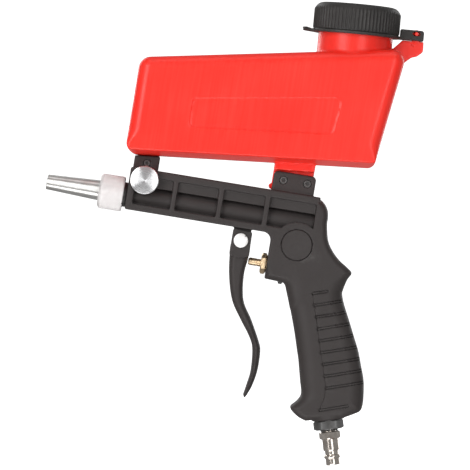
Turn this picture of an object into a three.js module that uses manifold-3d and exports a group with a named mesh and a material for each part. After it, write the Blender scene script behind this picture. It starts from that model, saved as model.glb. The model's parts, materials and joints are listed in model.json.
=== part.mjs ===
// Gravity-feed sand blasting gun: a black cast gun with a red hopper on top.
// Millimetres. +X runs to the rear (the nozzle points to -X), +Z is up, and Y is
// across, with the sand knob on the -Y side. The origin is the middle of the hand grip.
import * as THREE from "three";
import { ConvexGeometry } from "three/addons/geometries/ConvexGeometry.js";
import { mergeVertices } from "three/addons/utils/BufferGeometryUtils.js";
import Module from "manifold-3d";

const wasm = await Module();
wasm.setup();

// ---------- driving dimensions ----------
const GAP = 0.3; // clearance between faces that touch
const WELD = 1e-3; // points nearer than this are one point
const SLIVER = 0.02; // surface detail smaller than this is dropped
const SIDES = 20; // facets round a turned piece
const FINE_SIDES = 36; // facets round the wide neck and lid
const PAST = 1; // how far a cutting tool runs past the face it cuts

// Beam: the long top frame of the casting, with the barrel tube inside it.
const BEAM = { front: -162.8, rear: -13.2, bottom: 71.6, top: 103.3, half: 13, edge: 2, rearEdge: 14 };
const BARREL = { z: 82.2, tube: 8.6, bore: 4, chamber: 6, chamberRear: -143, boreRear: -37 };
const POCKET = { bottom: 77, top: 97.7, shelf: 90.3, shelfHalf: 9.6, webHalf: 3 };
const WINDOWS = [[-157, -130], [-126.3, -95.8], [-92.3, -61], [-57.6, -23]];
const BOSS = { x: -32.8, z: 65.8, radius: 16.9 };
const DISC = { radius: 11.4, depth: 2.6 };

// Hopper outlet post and rear bracket on top of the beam.
const OUTLET = { x: -151.6, bore: 4.2, seat: 103, spout: 7.2, spoutBore: 5.2, spoutEnd: 104.6 };
const POST = { front: -161.3, rear: -142.8, half: 11, screwZ: 107.7 };
const BRACKET = { front: -57.8, rear: -26.6, top: 117.7, half: 10.4, edge: 3 };
const LUG = { front: -58.6, rear: -28.5, half: 6, screwZ: 111.6 };
const LUG_SCREWS = [["front", -50.2], ["rear", -32.4]];
const LUG_SCREW = { shank: 1.7, head: 2.9, headTop: 10.2, headBed: 8.6, end: 10.2, nut: 5.2, nutBore: 2 };
const SPOUT_SCREW = { shank: 1.3, head: 2.6, headTop: 10.9, headBed: 9.7, end: 5.5 };

// Sand valve: a cross-drilled spindle turned by the knob.
const VALVE = { x: -151.3, z: 94.9, spindle: 5.6, neck: 3, groove: 4.2, grooveHalf: 0.9, sealY: 8 };
const KNOB = { radius: 10.5, back: -13.5, face: -20.8 };

// Trigger and air valve.
const PIVOT = { x: -74.1, z: 62.5, pin: 2.5, lug: 6.8, lugHalf: 6 };
const TRIGGER = { earHalf: 9.4, bladeHalf: 8, earEnd: 49.6 };
const STEM = { z: 48.5, tip: -66.3, radius: 2.6, neck: 1.8 };
const CHAMBER = { front: -52.5, rear: -14.5, radius: 6.6 };
const RISER = { x: -40.6, radius: 3, plug: 2.6 };

// Air inlet at the foot of the grip, on its own tilted axis.
const INLET = { x: 10.9, z: -57.9, tilt: THREE.MathUtils.degToRad(16), thread: 8.6 };
const GRIP_PASSAGE = { radius: 4.5, length: 112 };
const PLUG = { shank: 5, bore: 3.2, end: 33.7 };

// Nozzle end.
const NOZZLE = { tip: -222.7, tipRadius: 5.55, rootRadius: 7.5, bore: 3, flange: 9.1 };
const NUT = { front: -183.6, rear: -165.3, radius: 13.15, bore: 9.45 };

// Hopper: side outline corners as [x, z, corner radius]; then, for each half width,
// how far the floor and the other three sides are moved in there.
const HOPPER = [[-168.9, 111.6, 9], [13.6, 130.8, 5], [24.9, 221.4, 9], [-168.9, 183.9, 9]];
const HOPPER_LEVELS = [[8, 0, 0], [23, 2.2, 0], [27.5, 2.9, 1.2], [30.8, 3.7, 4.5], [32, 5.2, 9]];
const WALL = 2.2;

// Filler neck, lid collar and cap share one axis that leans forward.
const LID = { x: -14.9, z: 228.1, tilt: THREE.MathUtils.degToRad(-4) };
const NECK = { radius: 27.6, finish: 27.3, bore: 24.6, top: 12.2 };
const CAP = { radius: 31.9, bore: 30, ceiling: 14.8, rim: 20.3, dish: 17.4, ribs: 72, rib: 0.45 };
const KNURLS = 48; // teeth round the nozzle nut
const COLLAR = { radius: 32.9, bore: 28.6, bottom: -2.2 };
const LID_HINGE = { x: 44.7, z: 2.8, pin: 1.4, tongue: 2.6, tongueHalf: 3, cheek: 6.5 };

// ---------- materials ----------
const metal = (color, roughness) =>
  new THREE.MeshStandardMaterial({ color, roughness, metalness: 1 });
const nonMetal = (color, roughness) =>
  new THREE.MeshStandardMaterial({ color, roughness, metalness: 0 });
const FINISH = {
  casting: () => nonMetal(0x3a3838, 0.5),
  red: () => nonMetal(0xf5281e, 0.35),
  lid: () => nonMetal(0x2a2928, 0.45),
  rubber: () => nonMetal(0x151515, 0.8),
  aluminium: () => metal(0xd8d8da, 0.3),
  steel: () => metal(0xb9b6b0, 0.3),
  nickel: () => metal(0xcfc8bd, 0.15),
  brass: () => metal(0xc79a5b, 0.3),
  blackSteel: () => metal(0x333333, 0.45),
};

// ---------- solids ----------
// A three.js geometry as a manifold-3d solid with its faces pointing out.
function solid(geometry) {
  const bare = new THREE.BufferGeometry();
  bare.setAttribute("position", geometry.getAttribute("position"));
  bare.setIndex(geometry.index);
  const merged = mergeVertices(bare, WELD);
  const triangles = [];
  for (let i = 0; i < merged.index.count; i += 3) {
    const [a, b, c] = merged.index.array.slice(i, i + 3);
    if (a !== b && b !== c && c !== a) triangles.push(a, b, c);
  }
  const make = (corners) => new wasm.Manifold(new wasm.Mesh({
    numProp: 3,
    vertProperties: merged.attributes.position.array,
    triVerts: new Uint32Array(corners),
  }));
  const made = make(triangles);
  return made.volume() < 0 ? make(triangles.reverse()) : made;
}

// A manifold-3d solid back as a three.js geometry, without needless slivers.
function geometryOf(body) {
  const { numProp, vertProperties, triVerts, numVert } = body.asOriginal().simplify(SLIVER).getMesh();
  const position = new Float32Array(numVert * 3);
  for (let i = 0; i < numVert; i++) {
    position.set(vertProperties.subarray(i * numProp, i * numProp + 3), i * 3);
  }
  const geometry = new THREE.BufferGeometry();
  geometry.setAttribute("position", new THREE.BufferAttribute(position, 3));
  geometry.setIndex(new THREE.BufferAttribute(triVerts, 1));
  geometry.computeVertexNormals();
  return geometry;
}

const join = (...bodies) => bodies.reduce((all, next) => all.add(next));
const cut = (body, ...tools) => tools.reduce((left, tool) => left.subtract(tool), body);

// A line to build along: its start and its direction.
const Y_AXIS = new THREE.Vector3(0, 1, 0);
const Z_AXIS = new THREE.Vector3(0, 0, 1);
const line = (x, z, direction) => ({ origin: new THREE.Vector3(x, 0, z), direction });
const alongX = (z) => line(0, z, new THREE.Vector3(1, 0, 0));
const alongY = (x, z) => line(x, z, Y_AXIS);
const alongZ = (x) => line(x, 0, Z_AXIS);
const tilted = (angle, up) => new THREE.Vector3(Math.sin(angle), 0, up * Math.cos(angle));
const inletLine = line(INLET.x, INLET.z, tilted(INLET.tilt, -1));
const lidLine = line(LID.x, LID.z, tilted(LID.tilt, 1));

// Turns a profile of [radius, distance along the line] about the line.
function turned(profile, { origin, direction }, sides = SIDES) {
  const points = profile.map(([radius, distance]) => new THREE.Vector2(radius, distance));
  const ring = profile[0][0] > 0 || profile.at(-1)[0] > 0;
  if (ring) points.push(points[0].clone());
  const geometry = new THREE.LatheGeometry(points, sides);
  geometry.applyQuaternion(new THREE.Quaternion().setFromUnitVectors(Y_AXIS, direction));
  geometry.translate(origin.x, origin.y, origin.z);
  return solid(geometry);
}
const rod = (radius, start, end, along, sides) =>
  turned([[0, start], [radius, start], [radius, end], [0, end]], along, sides);
const tube = (radius, bore, start, end, along, sides) =>
  turned([[bore, start], [radius, start], [radius, end], [bore, end]], along, sides);
const hexRod = (flats, start, end, along) => rod(flats / Math.sqrt(3), start, end, along, 6);

// An O-ring round a line, at that distance along it.
function sealRing(radius, thick, distance, { origin, direction }) {
  const geometry = new THREE.TorusGeometry(radius, thick, 6, SIDES);
  geometry.applyQuaternion(new THREE.Quaternion().setFromUnitVectors(Z_AXIS, direction));
  const centre = origin.clone().addScaledVector(direction, distance);
  geometry.translate(centre.x, centre.y, centre.z);
  return solid(geometry);
}

// An outline in the XZ plane, extruded across from y0 to y1.
function slab(points, y0, y1) {
  const shape = new THREE.Shape(points);
  const geometry = new THREE.ExtrudeGeometry(shape, { depth: y1 - y0, bevelEnabled: false });
  geometry.rotateX(Math.PI / 2);
  geometry.translate(0, y1, 0);
  return solid(geometry);
}
const pointsOf = (pairs) => pairs.map(([x, z]) => new THREE.Vector2(x, z));
const block = (x0, x1, y0, y1, z0, z1) => {
  const geometry = new THREE.BoxGeometry(x1 - x0, y1 - y0, z1 - z0);
  geometry.translate((x0 + x1) / 2, (y0 + y1) / 2, (z0 + z1) / 2);
  return solid(geometry);
};

// The points of an outline whose corners [x, z, radius] are rounded off by arcs.
function rounded(corners, steps = 4) {
  return corners.flatMap(([x, z, radius], i) => {
    const here = new THREE.Vector2(x, z);
    if (!radius) return [here];
    const before = new THREE.Vector2(...corners.at(i - 1)).sub(here).normalize();
    const after = new THREE.Vector2(...corners[(i + 1) % corners.length]).sub(here).normalize();
    const half = Math.acos(before.dot(after)) / 2;
    const centre = before.clone().add(after).setLength(radius / Math.sin(half)).add(here);
    const reach = radius / Math.tan(half);
    const start = before.multiplyScalar(reach).add(here).sub(centre);
    const end = after.multiplyScalar(reach).add(here).sub(centre);
    const sweep = Math.atan2(start.cross(end), start.dot(end));
    return Array.from({ length: steps + 1 }, (_, k) => {
      const angle = start.angle() + (sweep * k) / steps;
      return new THREE.Vector2(radius * Math.cos(angle), radius * Math.sin(angle)).add(centre);
    });
  });
}

// A round outline with that many pointed teeth.
function toothed(radius, tooth, count) {
  return Array.from({ length: 2 * count }, (_, i) => {
    const angle = (Math.PI * i) / count;
    const reach = radius + (i % 2 ? tooth : 0);
    return new THREE.Vector2(reach * Math.cos(angle), reach * Math.sin(angle));
  });
}
// A toothed disc along a line.
function toothedRod(radius, tooth, count, start, end, { origin, direction }) {
  const shape = new THREE.Shape(toothed(radius, tooth, count));
  const geometry = new THREE.ExtrudeGeometry(shape, { depth: end - start, bevelEnabled: false });
  geometry.translate(0, 0, start);
  geometry.applyQuaternion(new THREE.Quaternion().setFromUnitVectors(Z_AXIS, direction));
  geometry.translate(origin.x, origin.y, origin.z);
  return solid(geometry);
}

// ---------- gun body ----------
// The grip as level sections from the beam down: [z, front x, rear x, half width].
const GRIP = [
  [74, -52.5, -10.8, 13], [66.4, -52.5, -6.4, 13], [60, -52.5, -0.1, 13], [55.2, -52.5, 7.1, 13],
  [52, -52.5, 10.5, 13.2], [46.3, -52.5, 8.2, 13.4], [38.6, -51.5, 6.4, 13.6], [37.4, -41, 6.3, 13.7],
  [34, -36, 6.6, 14], [24.7, -32.5, 10.6, 14.4], [17.5, -29.9, 14.4, 14.7], [3.5, -24.6, 21.2, 15],
  [-10.8, -20, 27.3, 15], [-24.7, -16, 32.2, 15], [-35.7, -13.3, 34, 14.8], [-41.7, -11.9, 34.5, 14.6],
  [-47.2, -14, 33.2, 14.2], [-53.2, -18.3, 26, 13.4], [-58.2, -12.2, 14, 11.5], [-62, -5, 0, 8],
];
const GRIP_POINTS = 16; // points round each section

// A closed skin over the level sections, each a squared-off ellipse.
function grip() {
  const positions = [];
  const squared = (v) => Math.sign(v) * Math.sqrt(Math.abs(v));
  for (const [z, front, rear, half] of GRIP) {
    for (let i = 0; i < GRIP_POINTS; i++) {
      const angle = (2 * Math.PI * (i + 0.5)) / GRIP_POINTS;
      const x = (front + rear) / 2 + ((rear - front) / 2) * squared(Math.cos(angle));
      positions.push(x, half * squared(Math.sin(angle)), z);
    }
  }
  const corner = (level, i) => level * GRIP_POINTS + (i % GRIP_POINTS);
  const last = GRIP.length - 1;
  const index = [];
  for (let i = 0; i < GRIP_POINTS; i++) {
    for (let level = 0; level < last; level++) {
      const [a, b] = [corner(level, i), corner(level, i + 1)];
      const [c, d] = [corner(level + 1, i + 1), corner(level + 1, i)];
      index.push(a, d, c, a, c, b);
    }
  }
  for (let i = 1; i + 1 < GRIP_POINTS; i++) {
    index.push(corner(0, 0), corner(0, i), corner(0, i + 1));
    index.push(corner(last, 0), corner(last, i + 1), corner(last, i));
  }
  const geometry = new THREE.BufferGeometry();
  geometry.setAttribute("position", new THREE.Float32BufferAttribute(positions, 3));
  geometry.setIndex(index);
  return solid(geometry);
}

// One side's pockets: a ledge at the top, and below it a trough that the barrel tube runs along.
function pockets(side) {
  const across = (near) => [side * near, side * (BEAM.half + PAST)].sort((a, b) => a - b);
  return join(...WINDOWS.map(([x0, x1]) => {
    const shallow = block(x0, x1, ...across(POCKET.shelfHalf), POCKET.bottom, POCKET.top);
    const deep = block(x0, x1, ...across(POCKET.webHalf), POCKET.bottom, POCKET.shelf);
    return join(shallow, cut(deep, rod(BARREL.tube, x0 - PAST, x1 + PAST, alongX(BARREL.z))));
  }));
}

// The height of the hopper's floor line at x.
function floorAt(x) {
  const [[x0, z0], [x1, z1]] = HOPPER;
  return z0 + ((z1 - z0) * (x - x0)) / (x1 - x0);
}

function gunBody() {
  const { front, rear, bottom, top, half, edge, rearEdge } = BEAM;
  const beamCorners = [[front, bottom, edge], [rear, bottom, 0], [rear, top, rearEdge], [front, top, edge]];
  const beam = slab(rounded(beamCorners), -half, half);
  const boss = rod(BOSS.radius, -half, half, alongY(BOSS.x, BOSS.z), FINE_SIDES);
  const corner = cut(block(-59, -51, -half, half, 65.3, bottom + PAST),
    rod(6, -half - PAST, half + PAST, alongY(-59, 65.3)));
  const postOutline = pointsOf([[POST.front, top - PAST], [POST.rear, top - PAST],
    [POST.rear, floorAt(POST.rear) - GAP], [POST.front, floorAt(POST.front) - GAP]]);
  const post = slab(postOutline, -POST.half, POST.half);
  const { edge: round } = BRACKET;
  const bracketCorners = [[BRACKET.front, top - PAST, 0], [BRACKET.rear, top - PAST, 0],
    [BRACKET.rear, BRACKET.top, round], [BRACKET.front, BRACKET.top, round]];
  const lugGap = LUG.half + GAP;
  const bracket = cut(slab(rounded(bracketCorners), -BRACKET.half, BRACKET.half),
    block(BRACKET.front - PAST, BRACKET.rear + PAST, -lugGap, lugGap, top, BRACKET.top + PAST));
  const trunnion = join(block(-80.8, -67.3, -PIVOT.lugHalf, PIVOT.lugHalf, PIVOT.z, bottom + PAST),
    rod(PIVOT.lug, -PIVOT.lugHalf, PIVOT.lugHalf, alongY(PIVOT.x, PIVOT.z)));
  const outside = join(cut(beam, pockets(1), pockets(-1)), boss, corner, grip(), post, bracket, trunnion);
  return cut(outside, ...passages(), ...screwHoles());
}

// The air and sand passages, valve seats and bearings in the casting.
function passages() {
  const far = BEAM.half + 3;
  const bearing = alongY(BOSS.x, BOSS.z);
  return [
    rod(BARREL.bore, BARREL.chamberRear - PAST, BARREL.boreRear, alongX(BARREL.z)),
    rod(BARREL.chamber, BEAM.front - PAST, BARREL.chamberRear, alongX(BARREL.z)),
    rod(OUTLET.bore, BARREL.z, OUTLET.seat + PAST, alongZ(OUTLET.x)),
    rod(OUTLET.spout + GAP, OUTLET.seat, floorAt(POST.rear) + PAST, alongZ(OUTLET.x)),
    rod(VALVE.spindle + GAP, -far, far, alongY(VALVE.x, VALVE.z)),
    rod(RISER.radius, 34, BARREL.z, alongZ(RISER.x)),
    rod(CHAMBER.radius, CHAMBER.front - 10, CHAMBER.rear, alongX(STEM.z)),
    rod(GRIP_PASSAGE.radius, -GRIP_PASSAGE.length, 0, inletLine),
    rod(INLET.thread, -13, PAST, inletLine),
    rod(40, 0, 30, inletLine), // the flat foot
    rod(PIVOT.pin + GAP, -far, far, alongY(PIVOT.x, PIVOT.z)),
    rod(DISC.radius + GAP, BEAM.half - DISC.depth - GAP, far, bearing),
    rod(DISC.radius + GAP, -far, -BEAM.half + DISC.depth + GAP, bearing),
  ];
}

// The holes for the hopper's screws and their heads and nuts.
function screwHoles() {
  const far = BEAM.half + 3;
  const round = 16;
  const spout = alongY(OUTLET.x, POST.screwZ);
  const lugHoles = LUG_SCREWS.flatMap(([, x]) => {
    const along = alongY(x, LUG.screwZ);
    return [
      rod(LUG_SCREW.shank + GAP, -far, far, along, round),
      rod(LUG_SCREW.head + GAP, -far, -LUG_SCREW.headBed + GAP, along, round),
      hexRod(LUG_SCREW.nut + 2 * GAP, LUG_SCREW.headBed - GAP, far, along),
    ];
  });
  return [
    ...lugHoles,
    rod(SPOUT_SCREW.shank + GAP, -far, far, spout, round),
    rod(SPOUT_SCREW.head + GAP, -far, -SPOUT_SCREW.headBed + GAP, spout, round),
    rod(SPOUT_SCREW.head + GAP, SPOUT_SCREW.headBed - GAP, far, spout, round),
  ];
}

// ---------- hopper ----------
// Moves each side of an outline in by its own amount; insets[i] is for the side from corner i.
function moveSidesIn(corners, insets) {
  const sides = corners.map(([x, z], i) => {
    const [nextX, nextZ] = corners[(i + 1) % corners.length];
    const along = new THREE.Vector2(nextX - x, nextZ - z).normalize();
    return { along, point: new THREE.Vector2(x - along.y * insets[i], z + along.x * insets[i]) };
  });
  return corners.map(([, , radius], i) => {
    const [before, after] = [sides.at(i - 1), sides[i]];
    const offset = after.point.clone().sub(before.point);
    const reach = offset.cross(after.along) / before.along.cross(after.along);
    const meeting = before.along.clone().multiplyScalar(reach).add(before.point);
    return [meeting.x, meeting.y, Math.max(radius - Math.max(insets.at(i - 1), insets[i]), 1)];
  });
}

// The hopper's convex shape, with every wall moved in by that much.
function hopperShape(wall) {
  const points = HOPPER_LEVELS.flatMap(([half, floor, other]) => {
    const insets = [floor, other, other, other].map((inset) => inset + wall);
    const outline = rounded(moveSidesIn(HOPPER, insets));
    const y = Math.max(half - wall, 1);
    return outline.flatMap((p) => [new THREE.Vector3(p.x, y, p.y), new THREE.Vector3(p.x, -y, p.y)]);
  });
  return solid(new ConvexGeometry(points));
}

// Where a point of the lid's own upright frame lies.
const lidPoint = (x, z) => {
  const point = new THREE.Vector3(x, 0, z).applyAxisAngle(Y_AXIS, LID.tilt).add(lidLine.origin);
  return new THREE.Vector2(point.x, point.z);
};
const lidPoints = (pairs) => pairs.map(([x, z]) => lidPoint(x, z));
const hinge = lidPoint(LID_HINGE.x, LID_HINGE.z);
const hingeLine = alongY(hinge.x, hinge.y);

function hopper() {
  const { tongue, tongueHalf, pin, cheek } = LID_HINGE;
  const neckProfile = [[0, -28], [NECK.radius + 0.6, -28], [NECK.radius, COLLAR.bottom - 1],
    [NECK.finish, -1], [NECK.finish, NECK.top], [0, NECK.top]];
  const neck = turned(neckProfile, lidLine, FINE_SIDES);
  const earEdge = new THREE.SplineCurve(lidPoints([[50.5, -2.5], [50.7, -8], [48.4, -11.9], [44.6, -14.2],
    [40.5, -17.3], [36, -21]])).getPoints(10);
  const earFront = lidPoints([[26, -14], [28.9, -8.8], [34.4, -2.5]]);
  const ear = slab([...earFront, ...earEdge], -tongueHalf, tongueHalf);
  const tongueBody = join(
    slab(lidPoints([[42.1, -3], [47.3, -3], [47.3, 2.8], [42.1, 2.8]]), -tongueHalf, tongueHalf),
    rod(tongue, -tongueHalf, tongueHalf, hingeLine, 16),
    rod(pin, -cheek + 0.4, cheek - 0.4, hingeLine, 12));
  const lugTop = floorAt(LUG.rear) + 1;
  const lug = block(LUG.front, LUG.rear, -LUG.half, LUG.half, BEAM.top + GAP, lugTop);
  const base = slab(pointsOf([[LUG.front, BRACKET.top + 2], [LUG.rear, BRACKET.top + 4.5],
    [LUG.rear, floorAt(LUG.rear) + 2], [LUG.front, floorAt(LUG.front) + 2]]), -12, 12);
  const spout = rod(OUTLET.spout, OUTLET.spoutEnd, floorAt(OUTLET.x) + 2, alongZ(OUTLET.x));
  const outside = join(hopperShape(0), neck, ear, tongueBody, lug, base, spout);
  return cut(outside,
    hopperShape(WALL),
    rod(NECK.bore, -26, NECK.top + PAST, lidLine, FINE_SIDES),
    rod(OUTLET.spoutBore, OUTLET.spoutEnd - PAST, floorAt(OUTLET.x) + 6, alongZ(OUTLET.x)),
    ...LUG_SCREWS.map(([, x]) => rod(LUG_SCREW.shank + GAP, -20, 20, alongY(x, LUG.screwZ), 16)),
    rod(SPOUT_SCREW.shank + GAP, -20, 20, alongY(OUTLET.x, POST.screwZ), 16));
}

// ---------- lid ----------
// The oblong hole through the collar's cheeks that the hinge pin turns in.
function slottedHole(radius, play, far) {
  const ends = [-play, play].map((step) => lidPoint(LID_HINGE.x + step, LID_HINGE.z));
  const { x, z } = LID_HINGE;
  const middle = lidPoints([[x - play, z - radius], [x + play, z - radius], [x + play, z + radius],
    [x - play, z + radius]]);
  const rounds = ends.map((end) => rod(radius, -far, far, alongY(end.x, end.y), 12));
  return join(slab(middle, -far, far), ...rounds);
}

function lidCollar() {
  const { cheek, tongueHalf, pin } = LID_HINGE;
  const { bottom, bore, radius } = COLLAR;
  const flange = { rim: 29.3, bead: 29.7, beadFrom: 2, top: 2.9 };
  const ring = turned([[bore, bottom], [radius, bottom], [radius, 0], [flange.rim, 0],
    [flange.rim, flange.beadFrom], [flange.bead, flange.beadFrom + 0.3], [flange.rim, flange.top],
    [bore, flange.top]], lidLine, FINE_SIDES);
  const tabOutline = lidPoints([[-31, 0], [-38, 0.95], [-39.8, 0.9], [-39.4, -1.4], [-31, -1.4]]);
  const armOutline = lidPoints([[30.5, bottom], [50.2, bottom], [50.2, 4], [48.7, 5.5], [33.5, 5.5],
    [33.2, 0], [30.5, 0]]);
  const slotOutline = lidPoints([[41.3, bottom - PAST], [52, bottom - PAST], [52, 7], [41.3, 7]]);
  const whole = join(ring, slab(tabOutline, -9, 9), slab(armOutline, -cheek, cheek));
  const slotHalf = tongueHalf + GAP;
  return cut(whole,
    rod(bore, bottom - PAST, 6, lidLine, FINE_SIDES),
    slab(slotOutline, -slotHalf, slotHalf),
    slottedHole(pin + GAP, 1.6, cheek + PAST));
}

function fillerCap() {
  const shell = turned([[0, GAP], [CAP.radius, GAP], [CAP.radius, 14.5], [31.2, 17.2], [29.4, 19.2],
    [26.6, CAP.rim], [23.4, CAP.rim], [22.4, CAP.dish], [0, CAP.dish]], lidLine, FINE_SIDES);
  const ribs = toothedRod(CAP.radius - 0.2, CAP.rib, CAP.ribs, 1, 14.6, lidLine);
  const inside = turned([[0, 0], [29.6, 0], [29.6, 1.8], [CAP.bore, 1.9], [CAP.bore, CAP.ceiling],
    [0, CAP.ceiling]], lidLine, FINE_SIDES);
  return cut(join(shell, ribs), inside);
}

const capGasket = () => tube(29.6, 21, NECK.top + GAP, CAP.ceiling - GAP, lidLine, FINE_SIDES);

// ---------- nozzle end ----------
const barrelLine = alongX(BARREL.z);

function nozzle() {
  const { tip, tipRadius, rootRadius, bore, flange } = NOZZLE;
  return turned([[bore, tip], [tipRadius, tip], [rootRadius, NUT.front], [rootRadius, -181],
    [flange, -181], [flange, -174.3], [bore + 2, -174.3], [bore, -178]], barrelLine);
}
const nozzleSeal = () => tube(8.8, 5.2, -174, -172.6, barrelLine);
function nozzleAdapter() {
  const face = BEAM.front - GAP;
  const spigot = BARREL.chamber - GAP;
  return turned([[4.6, -172.3], [9.15, -172.3], [9.15, face], [spigot, face], [spigot, -158],
    [4.6, -158]], barrelLine);
}
function nozzleNut() {
  const { front, rear, radius, bore } = NUT;
  const mouth = NOZZLE.rootRadius + GAP;
  const knurl = toothedRod(radius - 0.35, 0.35, KNURLS, front + 2, rear - 0.8, barrelLine);
  const core = turned([[0, front], [radius - 1.9, front], [radius - 0.3, front + 2],
    [radius - 0.3, rear - 0.6], [radius - 0.9, rear], [0, rear]], barrelLine, FINE_SIDES);
  const inside = turned([[0, front - PAST], [mouth, front - PAST], [mouth, -181.3], [bore, -181.3],
    [bore, rear + PAST], [0, rear + PAST]], barrelLine);
  return cut(join(core, knurl), inside);
}
function airJet() {
  const { bore, chamber, chamberRear } = BARREL;
  const [flange, shank, face] = [chamber - GAP, bore - GAP, chamberRear - GAP];
  return turned([[1.2, -155], [2.6, -155], [3.4, -150.5], [flange, -147.5], [flange, face], [shank, face],
    [shank, -134], [2.2, -134], [1.2, -150]], barrelLine);
}

// ---------- sand valve ----------
const valveLine = alongY(VALVE.x, VALVE.z);

function sandKnob() {
  const { radius, back, face } = KNOB;
  const socket = VALVE.neck + GAP;
  return turned([[0, face + 0.6], [2.2, face + 0.6], [2.8, face], [radius - 0.8, face],
    [radius, face + 0.8], [radius, back - 0.8], [radius - 0.8, back], [socket, back], [socket, face + 2.5],
    [0, face + 2.5]], valveLine, FINE_SIDES);
}
function sandSpindle() {
  const { spindle, neck, groove, grooveHalf, sealY } = VALVE;
  const grooved = (y) => [[spindle, y - grooveHalf], [groove, y - grooveHalf], [groove, y + grooveHalf],
    [spindle, y + grooveHalf]];
  const shoulder = KNOB.back + GAP;
  const clipGroove = [[spindle, 13.6], [4.4, 13.6], [4.4, 14.5], [spindle, 14.5]];
  const profile = [[0, KNOB.face + 2.8], [neck, KNOB.face + 2.8], [neck, shoulder], [spindle, shoulder],
    ...grooved(-sealY), ...grooved(sealY), ...clipGroove, [spindle, 15.4], [0, 15.4]];
  const port = rod(OUTLET.bore, VALVE.z - 8, VALVE.z + 8, alongZ(OUTLET.x));
  return cut(turned(profile, valveLine), port);
}
// An open retaining ring for a groove, its gap towards -Z.
const openClip = (radius, bore, y0, y1, x, z) => {
  const mouth = block(x - 1.6, x + 1.6, y0 - PAST, y1 + PAST, z - radius - PAST, z);
  return cut(tube(radius, bore, y0, y1, alongY(x, z)), mouth);
};
const spindleSeal = (side) => sealRing(5.05, 0.7, side * VALVE.sealY, valveLine);

// ---------- trigger ----------
const pivotLine = alongY(PIVOT.x, PIVOT.z);

function trigger() {
  const { earHalf, bladeHalf, earEnd } = TRIGGER;
  const front = [[-80.8, 54.2], [-78.5, 35.9], [-73.4, 18], [-64.5, 4.4], [-56.5, -6.3], [-52.6, -16],
    [-51.6, -31], [-53.2, -43], [-54.2, -49.4]];
  const rear = [[-51.4, -49.6], [-48.4, -41.6], [-46.5, -30.2], [-46.6, -17], [-48.6, -9.8],
    [-56.8, 5.7], [-65, 19.3], [-67.6, 37.7], [-66.6, 51]];
  const curve = (pairs) => new THREE.SplineCurve(pointsOf(pairs)).getPoints(14);
  const tip = new THREE.Vector2(-52.9, -52.2);
  const blade = slab([...curve(rear), ...curve(front), tip], -bladeHalf, bladeHalf);
  const earOutline = rounded([[-80.8, earEnd + 6, 0], [-78, earEnd + 1.6, 3], [-69.4, earEnd, 3],
    [-66.6, earEnd + 3, 0], [-66.6, 69.6, 1.5], [-80.8, 70.4, 1.5]]);
  const ears = slab(earOutline, -earHalf, earHalf);
  const slotHalf = PIVOT.lugHalf + GAP;
  const slot = join(rod(PIVOT.lug + 0.5, -slotHalf, slotHalf, pivotLine),
    block(-84, -60, -slotHalf, slotHalf, PIVOT.z - 3.5, 74));
  return cut(join(blade, ears), slot, rod(PIVOT.pin + GAP, -12, 12, pivotLine));
}
function triggerPin() {
  const head = [[0, -11.3], [4.7, -11.3], [5.35, -10.7], [5.35, -9.7], [PIVOT.pin, -9.7]];
  const groove = [[PIVOT.pin, 9.8], [1.9, 9.8], [1.9, 10.6], [PIVOT.pin, 10.6]];
  return turned([...head, ...groove, [PIVOT.pin, 11.4], [0, 11.4]], pivotLine);
}

// ---------- air valve ----------
const stemLine = alongX(STEM.z);

function valveStem() {
  const { tip, radius, neck } = STEM;
  return turned([[0, tip], [1.2, tip], [2.1, tip + 0.5], [radius, tip + 1.5], [radius, -43.5],
    [neck, -42.5], [neck, -29.4], [4.6, -29.4], [4.6, -27.2], [1.6, -27.2], [1.6, -20.5],
    [0, -20.5]], stemLine);
}
function valveGland() {
  const hex = hexRod(13.6, -57, CHAMBER.front - 0.4, stemLine);
  const thread = rod(CHAMBER.radius - GAP, CHAMBER.front - 1, -46, stemLine);
  return cut(join(hex, thread), rod(STEM.radius + GAP, -60, -44, stemLine), rod(4.7, -48.6, -44, stemLine));
}
const glandSeal = () => sealRing(3.75, 0.8, -47.3, stemLine);
const valveSeat = () =>
  turned([[3.2, -34], [6.3, -34], [6.3, -31.1], [3.8, -31.1], [3.2, -31.8]], stemLine);
const poppetSeal = () => tube(4.9, 2, -30.8, -29.7, stemLine);

// A coil round the stem's tail.
function valveSpring() {
  const spring = { start: -26.3, end: -15.3, radius: 3.4, wire: 0.45, turns: 6, steps: 10 };
  class Coil extends THREE.Curve {
    getPoint(t) {
      const angle = 2 * Math.PI * spring.turns * t;
      const x = THREE.MathUtils.lerp(spring.start, spring.end, t);
      const [y, z] = [spring.radius * Math.cos(angle), spring.radius * Math.sin(angle)];
      return new THREE.Vector3(x, y, STEM.z + z);
    }
  }
  const corners = 5;
  const ring = Array.from({ length: corners }, (_, i) =>
    new THREE.Vector2(spring.wire, 0).rotateAround(new THREE.Vector2(), (2 * Math.PI * i) / corners));
  const steps = spring.turns * spring.steps;
  return solid(new THREE.ExtrudeGeometry(new THREE.Shape(ring), { steps, extrudePath: new Coil() }));
}
const passageScrew = () =>
  turned([[0, 36.2], [2.2, 36.2], [RISER.plug, 36.6], [RISER.plug, 41.4], [0, 41.4]], alongZ(RISER.x), 16);

// ---------- air inlet ----------
function inletBushing() {
  const outside = join(hexRod(19.4, GAP, 7.2, inletLine), rod(INLET.thread - GAP, -12.5, 1, inletLine));
  return cut(outside, rod(PLUG.shank + GAP, -14, 8, inletLine));
}
const inletWasher = () => tube(6.5, PLUG.shank + GAP, 7.5, 8.3, inletLine);
function inletPlug() {
  const { shank, bore, end } = PLUG;
  const body = turned([[0, -6], [shank, -6], [shank, 9], [6, 9], [6, 22.7], [4.95, 23.2], [4.95, 25.8],
    [6, 26.8], [6, 28], [5.15, 29], [5.15, end - 0.8], [4.4, end], [0, end]], inletLine);
  return cut(join(body, hexRod(14, 8.6, 14.3, inletLine)), rod(bore, -7, end + PAST, inletLine));
}

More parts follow.
